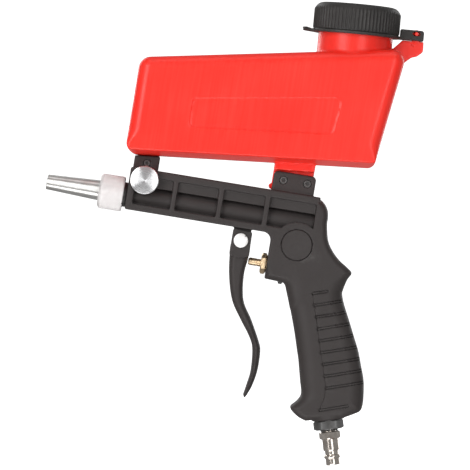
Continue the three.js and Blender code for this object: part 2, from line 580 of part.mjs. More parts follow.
// ---------- screws, discs and seals ----------
function lugScrew(x) {
  const { shank, head, headTop, headBed, end } = LUG_SCREW;
  const along = alongY(x, LUG.screwZ);
  const body = turned([[0, -headTop], [head, -headTop], [head, -headBed], [shank, -headBed], [shank, end],
    [0, end]], along, 16);
  return cut(body, hexRod(2.6, -headTop - PAST, -headTop + 1.1, along));
}
function lugNut(x) {
  const { nut, nutBore, headBed, end } = LUG_SCREW;
  const along = alongY(x, LUG.screwZ);
  return cut(hexRod(nut, headBed, end, along), rod(nutBore, 0, 20, along, 16));
}
function spoutScrew(side) {
  const { shank, head, headTop, headBed, end } = SPOUT_SCREW;
  const along = line(OUTLET.x, POST.screwZ, new THREE.Vector3(0, side, 0));
  const body = turned([[0, end], [shank, end], [shank, headBed], [head, headBed], [head, headTop],
    [0, headTop]], along, 16);
  return cut(body, hexRod(2, headTop - 0.8, headTop + PAST, along));
}
const spoutSeal = () => tube(7, 5.3, OUTLET.seat + GAP, OUTLET.spoutEnd - GAP, alongZ(OUTLET.x));
const sideDisc = (side) => {
  const [y0, y1] = [side * (BEAM.half - DISC.depth), side * BEAM.half].sort((a, b) => a - b);
  return rod(DISC.radius, y0, y1, alongY(BOSS.x, BOSS.z), FINE_SIDES);
};

// ---------- the assembly ----------
const nodes = [
  ["gun_body", gunBody(), FINISH.casting()],
  ["side_disc_left", sideDisc(-1), FINISH.casting()],
  ["side_disc_right", sideDisc(1), FINISH.casting()],
  ["nozzle_adapter", nozzleAdapter(), FINISH.blackSteel()],
  ["nozzle_seal", nozzleSeal(), FINISH.rubber()],
  ["nozzle", nozzle(), FINISH.steel()],
  ["nozzle_nut", nozzleNut(), FINISH.aluminium()],
  ["air_jet", airJet(), FINISH.brass()],
  ["hopper", hopper(), FINISH.red()],
  ["spout_seal", spoutSeal(), FINISH.rubber()],
  ["spout_screw_left", spoutScrew(-1), FINISH.blackSteel()],
  ["spout_screw_right", spoutScrew(1), FINISH.blackSteel()],
  ...LUG_SCREWS.map(([end, x]) => [`lug_screw_${end}`, lugScrew(x), FINISH.blackSteel()]),
  ...LUG_SCREWS.map(([end, x]) => [`lug_nut_${end}`, lugNut(x), FINISH.blackSteel()]),
  ["sand_knob", sandKnob(), FINISH.aluminium()],
  ["sand_spindle", sandSpindle(), FINISH.steel()],
  ["spindle_clip", openClip(7.4, 4.6, 13.8, 14.3, VALVE.x, VALVE.z), FINISH.steel()],
  ["spindle_seal_left", spindleSeal(-1), FINISH.rubber()],
  ["spindle_seal_right", spindleSeal(1), FINISH.rubber()],
  ["trigger", trigger(), FINISH.casting()],
  ["trigger_pin", triggerPin(), FINISH.steel()],
  ["trigger_pin_clip", openClip(4.6, 2.1, 9.9, 10.5, PIVOT.x, PIVOT.z), FINISH.steel()],
  ["valve_stem", valveStem(), FINISH.brass()],
  ["poppet_seal", poppetSeal(), FINISH.rubber()],
  ["valve_seat", valveSeat(), FINISH.brass()],
  ["valve_spring", valveSpring(), FINISH.steel()],
  ["valve_gland", valveGland(), FINISH.brass()],
  ["gland_seal", glandSeal(), FINISH.rubber()],
  ["passage_screw", passageScrew(), FINISH.blackSteel()],
  ["inlet_bushing", inletBushing(), FINISH.blackSteel()],
  ["inlet_washer", inletWasher(), FINISH.rubber()],
  ["inlet_plug", inletPlug(), FINISH.nickel()],
  ["lid_collar", lidCollar(), FINISH.lid()],
  ["filler_cap", fillerCap(), FINISH.lid()],
  ["cap_gasket", capGasket(), FINISH.rubber()],
];

const group = new THREE.Group();
group.name = "sand_blasting_gun";
for (const [name, body, material] of nodes) {
  const mesh = new THREE.Mesh(geometryOf(body), material);
  mesh.name = name;
  group.add(mesh);
}

export default group;
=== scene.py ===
"""Looks for the sand blasting gun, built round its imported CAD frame.

Shapes are worked out in millimetres in the CAD frame: +X to the rear, +Z up, the sand knob on -Y.
Meshes, lights and the camera are then placed in metres.
"""

import json
import math

import bpy
import numpy as np
from mathutils import Matrix, Quaternion, Vector


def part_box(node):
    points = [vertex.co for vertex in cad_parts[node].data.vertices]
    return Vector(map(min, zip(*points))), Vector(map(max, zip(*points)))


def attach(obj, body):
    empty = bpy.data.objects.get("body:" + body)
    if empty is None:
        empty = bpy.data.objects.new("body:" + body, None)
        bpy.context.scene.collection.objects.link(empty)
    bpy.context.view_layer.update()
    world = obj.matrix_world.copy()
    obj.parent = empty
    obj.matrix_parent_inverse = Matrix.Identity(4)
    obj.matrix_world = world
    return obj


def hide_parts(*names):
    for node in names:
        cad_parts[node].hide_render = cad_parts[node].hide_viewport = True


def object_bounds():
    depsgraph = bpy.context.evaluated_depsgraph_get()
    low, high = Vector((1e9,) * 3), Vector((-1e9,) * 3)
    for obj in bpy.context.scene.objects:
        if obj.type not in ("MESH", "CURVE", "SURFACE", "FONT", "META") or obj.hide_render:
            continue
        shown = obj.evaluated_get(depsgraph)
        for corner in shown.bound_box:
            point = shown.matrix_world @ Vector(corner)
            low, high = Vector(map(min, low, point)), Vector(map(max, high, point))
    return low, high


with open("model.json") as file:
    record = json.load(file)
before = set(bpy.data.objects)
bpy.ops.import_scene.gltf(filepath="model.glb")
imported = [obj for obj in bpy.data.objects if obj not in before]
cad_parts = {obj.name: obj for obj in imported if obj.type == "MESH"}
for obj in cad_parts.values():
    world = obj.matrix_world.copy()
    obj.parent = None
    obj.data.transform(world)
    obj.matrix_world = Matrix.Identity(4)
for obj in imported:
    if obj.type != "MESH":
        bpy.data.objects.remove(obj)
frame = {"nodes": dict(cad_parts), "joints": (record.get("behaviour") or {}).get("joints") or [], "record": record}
cad_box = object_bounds()

# ---------------------------------------------------------------- places taken from the frame

MM = 0.001
JOINTS = {joint["name"]: joint for joint in frame["joints"]}
MOUNTS = {mount["name"]: mount for mount in frame["record"]["mounts"]}


def low(node):
    """A CAD node's lowest corner, in millimetres."""
    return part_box(node)[0] / MM


def high(node):
    """A CAD node's highest corner, in millimetres."""
    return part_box(node)[1] / MM


def centre(node):
    """The middle of a CAD node's box, in millimetres."""
    return (low(node) + high(node)) / 2


def joint_point(name):
    return Vector(JOINTS[name]["pos_m"]) / MM


AXIS_Z = centre("nozzle").z
PIVOT = joint_point("trigger_squeeze")
SAND_VALVE = joint_point("sand_valve_turn")
LID = joint_point("cap_turn")
LID_AXIS = Vector(JOINTS["cap_turn"]["axis"])
LID_SIDE = Vector((LID_AXIS.z, 0, -LID_AXIS.x))
INLET_AXIS = Vector(MOUNTS["air_inlet"]["axis"])
PLUG_END = Vector(MOUNTS["air_inlet"]["pos_m"]) / MM
PLUG_END.y = 0
PLUG_LENGTH = 33.7
INLET = PLUG_END - INLET_AXIS * PLUG_LENGTH
STEM_Z = centre("valve_stem").z
BOSS = centre("side_disc_left")
BODY_FRONT = low("gun_body").x
OUTLET_X = centre("spout_seal").x
SPOUT_SCREW = centre("spout_screw_left")
LUG_SCREWS = [centre("lug_screw_front"), centre("lug_screw_rear")]
X_AXIS = Vector((1, 0, 0))
Y_AXIS = Vector((0, 1, 0))
Z_AXIS = Vector((0, 0, 1))


# The hopper's side outline as (x, z, corner radius).
HOPPER = [(-168.9, 111.6, 9), (13.6, 130.8, 5), (24.9, 221.4, 9), (-168.9, 183.9, 9)]
HOPPER_HALF = 32
WALL = 2.2


def floor_at(x):
    """The height of the hopper's floor line."""
    (x0, z0, _), (x1, z1, _) = HOPPER[:2]
    return z0 + (z1 - z0) * (x - x0) / (x1 - x0)


def lid_point(side, up):
    """A point of the lid's own frame as (x, z): side runs to the rear across the cap, up along its axis."""
    point = LID + LID_SIDE * side + LID_AXIS * up
    return point.x, point.z


def lid_xyz(side, up, y=0):
    x, z = lid_point(side, up)
    return x, y, z


# ---------------------------------------------------------------- outlines


def rounded(corners, steps=8):
    """The points of an outline whose corners (x, z, radius) are rounded off by arcs."""
    points = []
    for i, (x, z, radius) in enumerate(corners):
        here = Vector((x, z))
        if not radius:
            points.append((x, z))
            continue
        before = (Vector(corners[i - 1][:2]) - here).normalized()
        after = (Vector(corners[(i + 1) % len(corners)][:2]) - here).normalized()
        half = before.angle(after) / 2
        middle = here + (before + after).normalized() * radius / math.sin(half)
        start = here + before * radius / math.tan(half) - middle
        end = here + after * radius / math.tan(half) - middle
        sweep = -start.angle_signed(end)
        for k in range(steps + 1):
            spoke = start.copy()
            spoke.rotate(Matrix.Rotation(sweep * k / steps, 2))
            points.append(tuple(middle + spoke))
    return points


def curve(knots, steps=6):
    """Points along a smooth curve through the knots."""
    knots = np.array(knots, float)
    padded = np.vstack([2 * knots[0] - knots[1], knots, 2 * knots[-1] - knots[-2]])
    points = []
    for p0, p1, p2, p3 in zip(padded, padded[1:], padded[2:], padded[3:]):
        for t in np.arange(steps) / steps:
            bend = (2 * p0 - 5 * p1 + 4 * p2 - p3) * t**2 + (3 * p1 - p0 - 3 * p2 + p3) * t**3
            points.append(tuple(p1 + ((p2 - p0) * t + bend) / 2))
    return [*points, tuple(knots[-1])]


# ---------------------------------------------------------------- distance fields
# A field gives the distance in millimetres from p = (x, y, z) to a shape: negative inside it.
# The coordinates are numpy arrays that broadcast together.


def outline_field(p, points):
    """Distance in the XZ plane to a closed outline."""
    x, z = p[0], p[2]
    ends = np.array(points, float)
    nearest = np.inf
    inside = False
    for (ax, az), (bx, bz) in zip(ends, np.roll(ends, -1, axis=0)):
        along_x, along_z = bx - ax, bz - az
        length = along_x**2 + along_z**2
        if length < 1e-9:
            continue
        t = np.clip(((x - ax) * along_x + (z - az) * along_z) / length, 0, 1)
        gap = (x - ax - t * along_x) ** 2 + (z - az - t * along_z) ** 2
        nearest = np.minimum(nearest, gap)
        if along_z:
            crossing = ((az > z) != (bz > z)) & (x < ax + along_x * (z - az) / along_z)
            inside = inside ^ crossing
    return np.where(inside, -1, 1) * np.sqrt(nearest)


def bevelled(across, over, edge_in, edge_over):
    """A prism from its outline distance and its height distance, its edges rounded off elliptically."""
    u = np.maximum(across + edge_in, 0) / edge_in
    v = np.maximum(over + edge_over, 0) / edge_over
    edge = (np.hypot(u, v) - 1) * np.minimum(edge_in, edge_over)
    flat = np.maximum(across, over)
    return np.where((u > 0) & (v > 0), edge, np.maximum(flat, -np.minimum(edge_in, edge_over)))


def slab(p, points, half, edge=0.8, y=0):
    """An outline extruded across, half wide on each side of y, with rounded edges."""
    across = outline_field(p, points) + edge
    over = np.abs(p[1] - y) - half + edge
    outside = np.hypot(np.maximum(across, 0), np.maximum(over, 0))
    return outside + np.minimum(np.maximum(across, over), 0) - edge


def rod(p, start, end, radius, edge=0.0):
    """A round rod between two points, with rounded ends."""
    start, end = Vector(start), Vector(end)
    line = (end - start).normalized()
    x, y, z = (c - s for c, s in zip(p, start))
    along = x * line.x + y * line.y + z * line.z
    out = np.sqrt(np.maximum(x * x + y * y + z * z - along * along, 0)) - radius + edge
    half = (end - start).length / 2
    over = np.abs(along - half) - half + edge
    outside = np.hypot(np.maximum(out, 0), np.maximum(over, 0))
    return outside + np.minimum(np.maximum(out, over), 0) - edge


def cross_rod(p, x, z, radius, y0, y1, edge=0.0):
    return rod(p, (x, y0, z), (x, y1, z), radius, edge)


def block(p, x0, x1, y0, y1, z0, z1, edge=0.8):
    """A box with rounded edges."""
    limits = ((x0, x1), (y0, y1), (z0, z1))
    q = [np.abs(c - (a + b) / 2) - (b - a) / 2 + edge for c, (a, b) in zip(p, limits)]
    outside = np.sqrt(sum(np.maximum(c, 0) ** 2 for c in q))
    return outside + np.minimum(np.maximum(np.maximum(q[0], q[1]), q[2]), 0) - edge


def join(a, b, soft=0.0):
    """Both shapes together, with a fillet of about that size between them."""
    soft = np.maximum(soft, 1e-6)
    near = np.maximum(soft - np.abs(a - b), 0) / soft
    return np.minimum(a, b) - near * near * soft / 4


def carve(a, b, soft=0.0):
    """The first shape with the second taken out of it."""
    return -join(-a, b, soft)


def clip(a, b, soft=0.0):
    """What the two shapes share."""
    return -join(-a, -b, soft)


def ease(value, start, end):
    """Goes smoothly from 0 at start to 1 at end."""
    t = np.clip((value - start) / (end - start), 0, 1)
    return t * t * (3 - 2 * t)


# ---------------------------------------------------------------- meshes


def spaced(start, end, coarse, fine=None, fine_from=0.0, fine_to=0.0):
    """Grid lines from start to end, closer together between fine_from and fine_to."""
    lines = [start - 2 * coarse]
    while lines[-1] < end + 2 * coarse:
        step = fine if fine and fine_from < lines[-1] < fine_to else coarse
        lines.append(lines[-1] + step)
    return np.array(lines)


def skin(field, xs, ys, zs):
    """The surface where a field is zero: vertices, one in each grid cell it crosses, and quads."""
    values = np.broadcast_to(
        field((xs[:, None, None], ys[None, :, None], zs[None, None, :])), (len(xs), len(ys), len(zs))
    )
    inside = values < 0
    shape = np.array(inside.shape) - 1
    count = np.zeros(shape, np.int8)
    for i in (0, 1):
        for j in (0, 1):
            for k in (0, 1):
                count += inside[i : shape[0] + i, j : shape[1] + j, k : shape[2] + k]
    cells = np.argwhere((count > 0) & (count < 8))
    number = np.full(shape, -1, np.int64)
    number[tuple(cells.T)] = np.arange(len(cells))
    lines = (xs, ys, zs)
    total = np.zeros((len(cells), 3))
    crossings = np.zeros(len(cells))
    for axis in range(3):
        side_a, side_b = [a for a in range(3) if a != axis]
        for step_a in (0, 1):
            for step_b in (0, 1):
                start = cells.copy()
                start[:, side_a] += step_a
                start[:, side_b] += step_b
                end = start.copy()
                end[:, axis] += 1
                v0, v1 = values[tuple(start.T)], values[tuple(end.T)]
                crossed = (v0 < 0) != (v1 < 0)
                t = np.where(crossed, v0 / np.where(crossed, v0 - v1, 1), 0)
                here = np.stack([line[index] for line, index in zip(lines, start.T)], axis=1)
                here[:, axis] += t * (lines[axis][end[:, axis]] - lines[axis][start[:, axis]])
                total += here * crossed[:, None]
                crossings += crossed
    vertices = total / crossings[:, None]
    quads = []
    for axis in range(3):
        side_a, side_b = (axis + 1) % 3, (axis + 2) % 3
        first = [slice(1, -1)] * 3
        first[axis] = slice(0, -1)
        second = list(first)
        second[axis] = slice(1, None)
        a, b = inside[tuple(first)], inside[tuple(second)]
        at = np.argwhere(a != b)
        leaving = a[tuple(at.T)]
        at[:, side_a] += 1
        at[:, side_b] += 1
        ring = []
        for step_a, step_b in ((-1, -1), (0, -1), (0, 0), (-1, 0)):
            cell = at.copy()
            cell[:, side_a] += step_a
            cell[:, side_b] += step_b
            ring.append(number[tuple(cell.T)])
        ring = np.stack(ring, axis=1)
        ring[~leaving] = ring[~leaving][:, ::-1]
        quads.append(ring)
    return settle(field, vertices), np.vstack(quads)


def settle(field, vertices, rounds=3, reach=0.02, longest=0.4):
    """Moves vertices onto the surface along the field's slope."""
    for _ in range(rounds):
        x, y, z = vertices.T
        value = field((x, y, z))
        slope = np.stack(
            [
                field((x + reach, y, z)) - field((x - reach, y, z)),
                field((x, y + reach, z)) - field((x, y - reach, z)),
                field((x, y, z + reach)) - field((x, y, z - reach)),
            ],
            axis=1,
        ) / (2 * reach)
        steep = np.maximum((slope**2).sum(axis=1), 0.05)
        step = np.clip(value / steep, -longest, longest)
        vertices = vertices - slope * step[:, None]
    return vertices


def mesh_object(name, vertices, faces, material, crease=40):
    """A smooth-shaded object from points in millimetres."""
    mesh = bpy.data.meshes.new(name)
    mesh.from_pydata((np.asarray(vertices, float) * MM).tolist(), [], np.asarray(faces).tolist())
    mesh.validate()
    mesh.shade_smooth()
    mesh.set_sharp_from_angle(angle=math.radians(crease))
    mesh.materials.append(material)
    made = bpy.data.objects.new(name, mesh)
    bpy.context.scene.collection.objects.link(made)
    return made


def thinned(made, share):
    """The same piece with a share of its faces, given up first where it is flat."""
    thinner = made.modifiers.new("thinner", "DECIMATE")
    thinner.ratio = share
    mesh = bpy.data.meshes.new_from_object(made.evaluated_get(bpy.context.evaluated_depsgraph_get()))
    made.modifiers.remove(thinner)
    made.data = mesh
    return made


def place(made, body, slot, *nodes):
    """Ties a piece to its body and hides the CAD nodes that it stands for. The slot argument is not used."""
    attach(made, body)
    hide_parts(*nodes)


def plain(angle, radius):
    return radius


def hexagon(flats, turn=0.0):
    """A cross-section for turned(): a hexagon of that width across flats, rotated by turn degrees."""
    sector = math.pi / 3

    def limit(angle, radius):
        off = (angle - math.radians(turn)) % sector - sector / 2
        return min(radius, flats / 2 / math.cos(off))

    return limit


def ribbed(count, depth, power=1.0):
    """A cross-section for turned(): ribs that stand out by depth from the given radius."""

    def limit(angle, radius):
        wave = 0.5 + 0.5 * math.cos(count * angle)
        return radius + depth * wave**power

    return limit


def turned(profile, origin, axis, segments=72):
    """Vertices and faces turned about an axis from (radius, distance, cross-section) rows.

    The profile starts and ends on the axis, or closes on itself round a bore."""
    turn = Z_AXIS.rotation_difference(axis)
    rows, vertices, faces = [], [], []
    for radius, distance, *section in profile:
        shape = section[0] if section else plain
        if radius <= 0:
            rows.append([len(vertices)] * segments)
            vertices.append(origin + axis * distance)
            continue
        rows.append(range(len(vertices), len(vertices) + segments))
        for i in range(segments):
            angle = 2 * math.pi * i / segments
            reach = shape(angle, radius)
            spoke = Vector((reach * math.cos(angle), reach * math.sin(angle), distance))
            vertices.append(origin + turn @ spoke)
    if profile[0][0] > 0:
        rows.append(rows[0])
    for lower, upper in zip(rows, rows[1:]):
        for i in range(segments):
            j = (i + 1) % segments
            corners = list(dict.fromkeys((lower[i], lower[j], upper[j], upper[i])))
            if len(corners) > 2:
                faces.append(corners)
    return vertices, faces


# Crease angle of machined pieces, so that a straight length isn't shaded as part of the chamfer beside it.
CRISP = 15


def turned_object(name, material, profile, origin, axis, segments=72, crease=35):
    vertices, faces = turned(profile, origin, axis, segments)
    if volume(vertices, faces) < 0:
        faces = [face[::-1] for face in faces]
    mesh = bpy.data.meshes.new(name)
    mesh.from_pydata([v * MM for v in vertices], [], faces)
    mesh.shade_smooth()
    mesh.set_sharp_from_angle(angle=math.radians(crease))
    mesh.materials.append(material)
    made = bpy.data.objects.new(name, mesh)
    bpy.context.scene.collection.objects.link(made)
    return made


def volume(vertices, faces):
    """Signed volume: positive when the faces point out."""
    total = 0.0
    for face in faces:
        a = vertices[face[0]]
        for b, c in zip(face[1:], face[2:]):
            total += a.dot(vertices[b].cross(vertices[c]))
    return total


def soften(profile, radius, steps=3):
    """A turned profile (radius, distance) with its corners rounded off, apart from those on the axis."""
    corners = []
    for i, (r, h) in enumerate(profile):
        before, after = profile[i - 1], profile[(i + 1) % len(profile)]
        room = min(math.dist((r, h), before[:2]), math.dist((r, h), after[:2])) * 0.45
        on_axis = r <= 0
        corners.append((r, h, 0 if on_axis else min(radius, room)))
    return rounded(corners, steps)


# ---------------------------------------------------------------- materials


class Shader:
    """A procedural material built up around one Principled shader."""

    def __init__(self, name, metallic=0.0, roughness=0.5):
        self.material = bpy.data.materials.new(name)
        self.material.use_nodes = True
        self.tree = self.material.node_tree
        self.shader = self.tree.nodes["Principled BSDF"]
        self.shader.inputs["Metallic"].default_value = metallic
        self.shader.inputs["Roughness"].default_value = roughness
        self.place = self.node("ShaderNodeTexCoord").outputs["Object"]

    def node(self, kind, **settings):
        made = self.tree.nodes.new(kind)
        for key, value in settings.items():
            setattr(made, key, value)
        return made

    def link(self, source, target):
        self.tree.links.new(source, target)

    def noise(self, size_mm, detail=3.0, stretch=(1, 1, 1)):
        """Noise with features of about that size, drawn out along the axes by stretch."""
        mapping = self.node("ShaderNodeMapping")
        mapping.inputs["Scale"].default_value = [1 / s for s in stretch]
        self.link(self.place, mapping.inputs["Vector"])
        noise = self.node("ShaderNodeTexNoise")
        noise.inputs["Scale"].default_value = 1 / (size_mm * MM)
        noise.inputs["Detail"].default_value = detail
        self.link(mapping.outputs["Vector"], noise.inputs["Vector"])
        return noise.outputs["Fac"]

    def spread(self, source, start, end, low_value, high_value):
        """Maps a value from start..end to low_value..high_value."""
        ranged = self.node("ShaderNodeMapRange")
        ends = {"From Min": start, "From Max": end, "To Min": low_value, "To Max": high_value}
        for key, value in ends.items():
            ranged.inputs[key].default_value = value
        self.link(source, ranged.inputs["Value"])
        return ranged.outputs["Result"]

    def edges(self, start=0.52, end=0.62):
        """1 on sharp outer edges, 0 elsewhere."""
        pointiness = self.node("ShaderNodeNewGeometry").outputs["Pointiness"]
        return self.spread(pointiness, start, end, 0, 1)

    def creases(self, start=0.48, end=0.42):
        """1 in sharp inner corners, 0 elsewhere."""
        pointiness = self.node("ShaderNodeNewGeometry").outputs["Pointiness"]
        return self.spread(pointiness, start, end, 0, 1)

    def mixed(self, factor, first, second):
        """Goes from the first colour to the second by factor. A colour is a tuple or a socket."""
        mix = self.node("ShaderNodeMix", data_type="RGBA")
        self.link(factor, mix.inputs["Factor"])
        for colour, socket in ((first, mix.inputs[6]), (second, mix.inputs[7])):
            if isinstance(colour, tuple):
                socket.default_value = (*colour, 1)
            else:
                self.link(colour, socket)
        return mix.outputs[2]

    def times(self, a, b):
        product = self.node("ShaderNodeMath", operation="MULTIPLY")
        self.link(a, product.inputs[0])
        if isinstance(b, float):
            product.inputs[1].default_value = b
        else:
            self.link(b, product.inputs[1])
        return product.outputs[0]

    def bumps(self, *layers):
        """Stacks (height socket, depth in mm, strength) layers into the shader's normal."""
        normal = None
        for height, depth_mm, strength in layers:
            bump = self.node("ShaderNodeBump")
            bump.inputs["Strength"].default_value = strength
            bump.inputs["Distance"].default_value = depth_mm * MM
            self.link(height, bump.inputs["Height"])
            if normal:
                self.link(normal, bump.inputs["Normal"])
            normal = bump.outputs["Normal"]
        self.link(normal, self.shader.inputs["Normal"])

    def lathe_marks(self, axis):
        """Spreads highlights across the fine grooves that turning leaves round the axis."""
        tangent = self.node("ShaderNodeTangent", direction_type="RADIAL", axis=axis)
        self.link(tangent.outputs["Tangent"], self.shader.inputs["Tangent"])
        self.shader.inputs["Anisotropic"].default_value = 0.85
        self.shader.inputs["Anisotropic Rotation"].default_value = 0.25

    def colour(self, socket):
        self.link(socket, self.shader.inputs["Base Color"])

    def roughness(self, socket):
        self.link(socket, self.shader.inputs["Roughness"])


def casting_material():
    """Black powder-coated casting: a fine orange-peel grain, paler on worn edges, and painted shade darkening its
    inner creases.
    """
    m = Shader("casting_black")
    cloudy = m.noise(18)
    grain = m.noise(0.5, detail=4)
    base = m.mixed(cloudy, (0.033, 0.0275, 0.0265), (0.041, 0.035, 0.034))
    worn = m.times(m.edges(0.53, 0.66), m.spread(m.noise(2.5), 0.35, 0.7, 0.1, 0.75))
    rubbed = m.mixed(worn, base, (0.075, 0.069, 0.067))
    # Painted shade: inner creases are darkened to near black, standing in for the shade that falls in them.
    m.colour(m.mixed(m.creases(0.47, 0.36), rubbed, (0.010, 0.009, 0.009)))
    m.roughness(m.spread(grain, 0.3, 0.7, 0.48, 0.6))
    m.bumps((grain, 0.05, 0.35))
    m.shader.inputs["Specular IOR Level"].default_value = 0.32
    return m.material


def red_material():
    """Red moulded plastic: semi-gloss, with faint upright flow streaks, a soft glow in the wall, and a painted
    highlight that lightens its rounded edges.
    """
    m = Shader("plastic_red")
    streaks = m.noise(2, detail=3, stretch=(1, 1, 30))
    cloudy = m.noise(40, detail=1)
    base = m.mixed(m.spread(streaks, 0.35, 0.7, 0, 1), (0.98, 0.028, 0.016), (1.0, 0.046, 0.030))
    # Painted highlight: the rounded edges are mixed towards a paler red, standing in for the light they catch.
    edge = m.times(m.edges(0.52, 0.62), 0.5)
    deeper = m.mixed(m.spread(cloudy, 0.3, 0.7, 0, 0.6), base, (0.92, 0.02, 0.010))
    m.colour(m.mixed(edge, deeper, (1.0, 0.09, 0.06)))
    m.roughness(m.spread(m.noise(3, detail=4), 0.3, 0.7, 0.30, 0.38))
    m.bumps((streaks, 0.05, 0.15), (m.noise(0.6), 0.02, 0.2))
    m.shader.inputs["Specular IOR Level"].default_value = 0.4
    m.shader.inputs["Subsurface Weight"].default_value = 0.12
    m.shader.inputs["Subsurface Scale"].default_value = 0.004
    m.shader.inputs["Subsurface Radius"].default_value = (1.0, 0.25, 0.15)
    return m.material


def lid_material():
    """Black moulded plastic of the cap and its collar, scuffed on the ribs."""
    m = Shader("plastic_black")
    cloudy = m.noise(9)
    base = m.mixed(cloudy, (0.022, 0.020, 0.019), (0.034, 0.031, 0.029))
    scuffs = m.times(m.edges(0.52, 0.60), m.spread(m.noise(1.8, detail=5), 0.45, 0.65, 0.0, 0.8))
    m.colour(m.mixed(scuffs, base, (0.085, 0.08, 0.077)))
    m.roughness(m.spread(m.noise(1.2, detail=4), 0.3, 0.7, 0.42, 0.56))
    m.bumps((m.noise(0.4), 0.02, 0.3))
    m.shader.inputs["Specular IOR Level"].default_value = 0.35
    return m.material


def rubber_material():
    m = Shader("rubber_black")
    m.colour(m.mixed(m.noise(2), (0.016, 0.016, 0.016), (0.032, 0.031, 0.030)))
    m.roughness(m.spread(m.noise(0.8), 0.3, 0.7, 0.6, 0.8))
    m.bumps((m.noise(0.3), 0.02, 0.4))
    return m.material


def metal_material(
    name,
    dull,
    bright,
    rough,
    grain_mm=0.4,
    stretch=(1, 1, 1),
    depth=0.01,
    wear=None,
    turned_about=None,
    metallic=1.0,
):
    """A worked metal: two tones, tool marks, edges worn to a third tone, lathe marks about an axis."""
    m = Shader(name, metallic=metallic)
    if turned_about:
        m.lathe_marks(turned_about)
    marks = m.noise(grain_mm, detail=4, stretch=stretch)
    base = m.mixed(m.spread(m.noise(6), 0.3, 0.7, 0, 1), dull, bright)
    m.colour(m.mixed(m.times(m.edges(), 0.7), base, wear or bright))
    m.roughness(m.spread(marks, 0.3, 0.7, rough * 0.8, rough * 1.2))
    m.bumps((marks, depth, 0.5))
    return m.material


def knob_material():
    """Turned aluminium: fine rings about the knob's own axis, and anisotropic highlights across them."""
    m = Shader("aluminium_turned", metallic=1.0)
    centred = m.node("ShaderNodeVectorMath", operation="SUBTRACT")
    m.link(m.place, centred.inputs[0])
    centred.inputs[1].default_value = SAND_VALVE * MM
    parts = m.node("ShaderNodeSeparateXYZ")
    m.link(centred.outputs["Vector"], parts.inputs["Vector"])
    flat = m.node("ShaderNodeCombineXYZ")
    m.link(parts.outputs["X"], flat.inputs["X"])
    m.link(parts.outputs["Z"], flat.inputs["Z"])
    radius = m.node("ShaderNodeVectorMath", operation="LENGTH")
    m.link(flat.outputs["Vector"], radius.inputs[0])
    rings = m.node("ShaderNodeTexNoise", noise_dimensions="1D")
    rings.inputs["Scale"].default_value = 1 / (0.35 * MM)
    rings.inputs["Detail"].default_value = 3
    m.link(radius.outputs["Value"], rings.inputs["W"])
    m.colour(m.mixed(rings.outputs["Fac"], (0.72, 0.72, 0.73), (0.94, 0.94, 0.95)))
    m.roughness(m.spread(rings.outputs["Fac"], 0.3, 0.7, 0.24, 0.34))
    m.bumps((rings.outputs["Fac"], 0.01, 0.3))
    m.lathe_marks("Y")
    return m.material


CASTING = casting_material()
RED = red_material()
LID_BLACK = lid_material()
RUBBER = rubber_material()
NUT_METAL = metal_material(
    "aluminium_knurled", (0.70, 0.665, 0.66), (0.80, 0.77, 0.765), 0.55, 0.5, metallic=0.35
)
STEEL = metal_material("steel_bright", (0.60, 0.59, 0.57), (0.74, 0.73, 0.71), 0.3, 0.5)
NOZZLE_STEEL = metal_material(
    "steel_turned", (0.66, 0.65, 0.63), (0.80, 0.79, 0.77), 0.4, 0.5, (1, 12, 12), turned_about="X"
)
PIN_METAL = metal_material("pin_head", (0.82, 0.81, 0.80), (0.93, 0.92, 0.91), 0.62, 0.7, depth=0.06)
NICKEL = metal_material("nickel_plate", (0.50, 0.44, 0.39), (0.74, 0.68, 0.62), 0.14, 3, depth=0.0005)
BRASS = metal_material(
    "brass_turned", (0.74, 0.54, 0.33), (0.90, 0.70, 0.46), 0.45, 0.5, (1, 12, 12), turned_about="X"
)
BLACK_STEEL = metal_material(
    "steel_blacked",
    (0.040, 0.038, 0.037),
    (0.068, 0.065, 0.063),
    0.45,
    0.6,
    wear=(0.25, 0.25, 0.25),
    metallic=0.5,
)
KNOB_METAL = knob_material()


# ---------------------------------------------------------------- gun body
# Beam and valve housing first, then the handle, each as an outline [x, z, corner radius].

BEAM_TOP = 103.3
BEAM_BOTTOM = 71.6
BEAM_HALF = 13
HOUSING = [
    (BODY_FRONT, BEAM_BOTTOM, 1.6),
    (-52.5, BEAM_BOTTOM, 6),
    (-52.5, 37.6, 1.2),
    (-36.6, 36.8, 4),
    (-29, 20, 0),
    (-8, 24, 0),
    (-8, 52, 6),
    (-21, 68, 6),
    (-21, BEAM_TOP, 0),
    (BODY_FRONT, BEAM_TOP, 1.6),
]
HANDLE_BACK = [
    (-27.2, BEAM_TOP), (-21.8, 102.2), (-17.3, 99.2), (-14.3, 94.7), (-13.2, 89.3), (-13, 84.1),
    (-10.5, 73.3), (-6.4, 66.4), (-0.1, 60), (7.1, 55.2), (10.6, 51.8), (8.2, 46.3), (6.4, 38.5),
    (6.5, 34.8), (9.2, 27.7), (14.4, 17.4), (19.5, 6.9), (24.6, -3.5), (28.5, -14.1), (32.2, -24.7),
    (34, -35.7), (34.4, -43.1), (33.2, -47.6), (29, -50.6), (21.7, -54.6),
]
HANDLE_FRONT = [
    (-5.7, -61.3), (-12.2, -58.8), (-18.3, -53.2), (-14, -47.3), (-11.9, -41.7), (-14.2, -32.3),
    (-17.8, -17.9), (-20, -10.8), (-24.5, 3.5), (-29.5, 17.6), (-31.9, 24.7), (-34.6, 33), (-37, 43),
    (-39, 78),
]
# Half width of the handle at each height.
HANDLE_WIDTHS = [(-62, 13.2), (-50, 14.2), (-36, 15), (5, 15), (26, 14.2), (38, 13.3), (52, 13), (105, 13)]

# The barrel frame: a shelf along the top of each window, and the barrel tube along the bottom.
WINDOWS = [(-157.6, -129.6), (-126.3, -95.7), (-92.1, -60.9), (-57.5, -22.8)]
WINDOW_LOW = 76.6
WINDOW_HIGH = 97.9
SHELF_LOW = 90.4
SHELF_HALF = 9.6
WEB_HALF = 3.0
TUBE_RADIUS = 8.8
BOSS_RADIUS = 16.9
DISC_RADIUS = 11.35

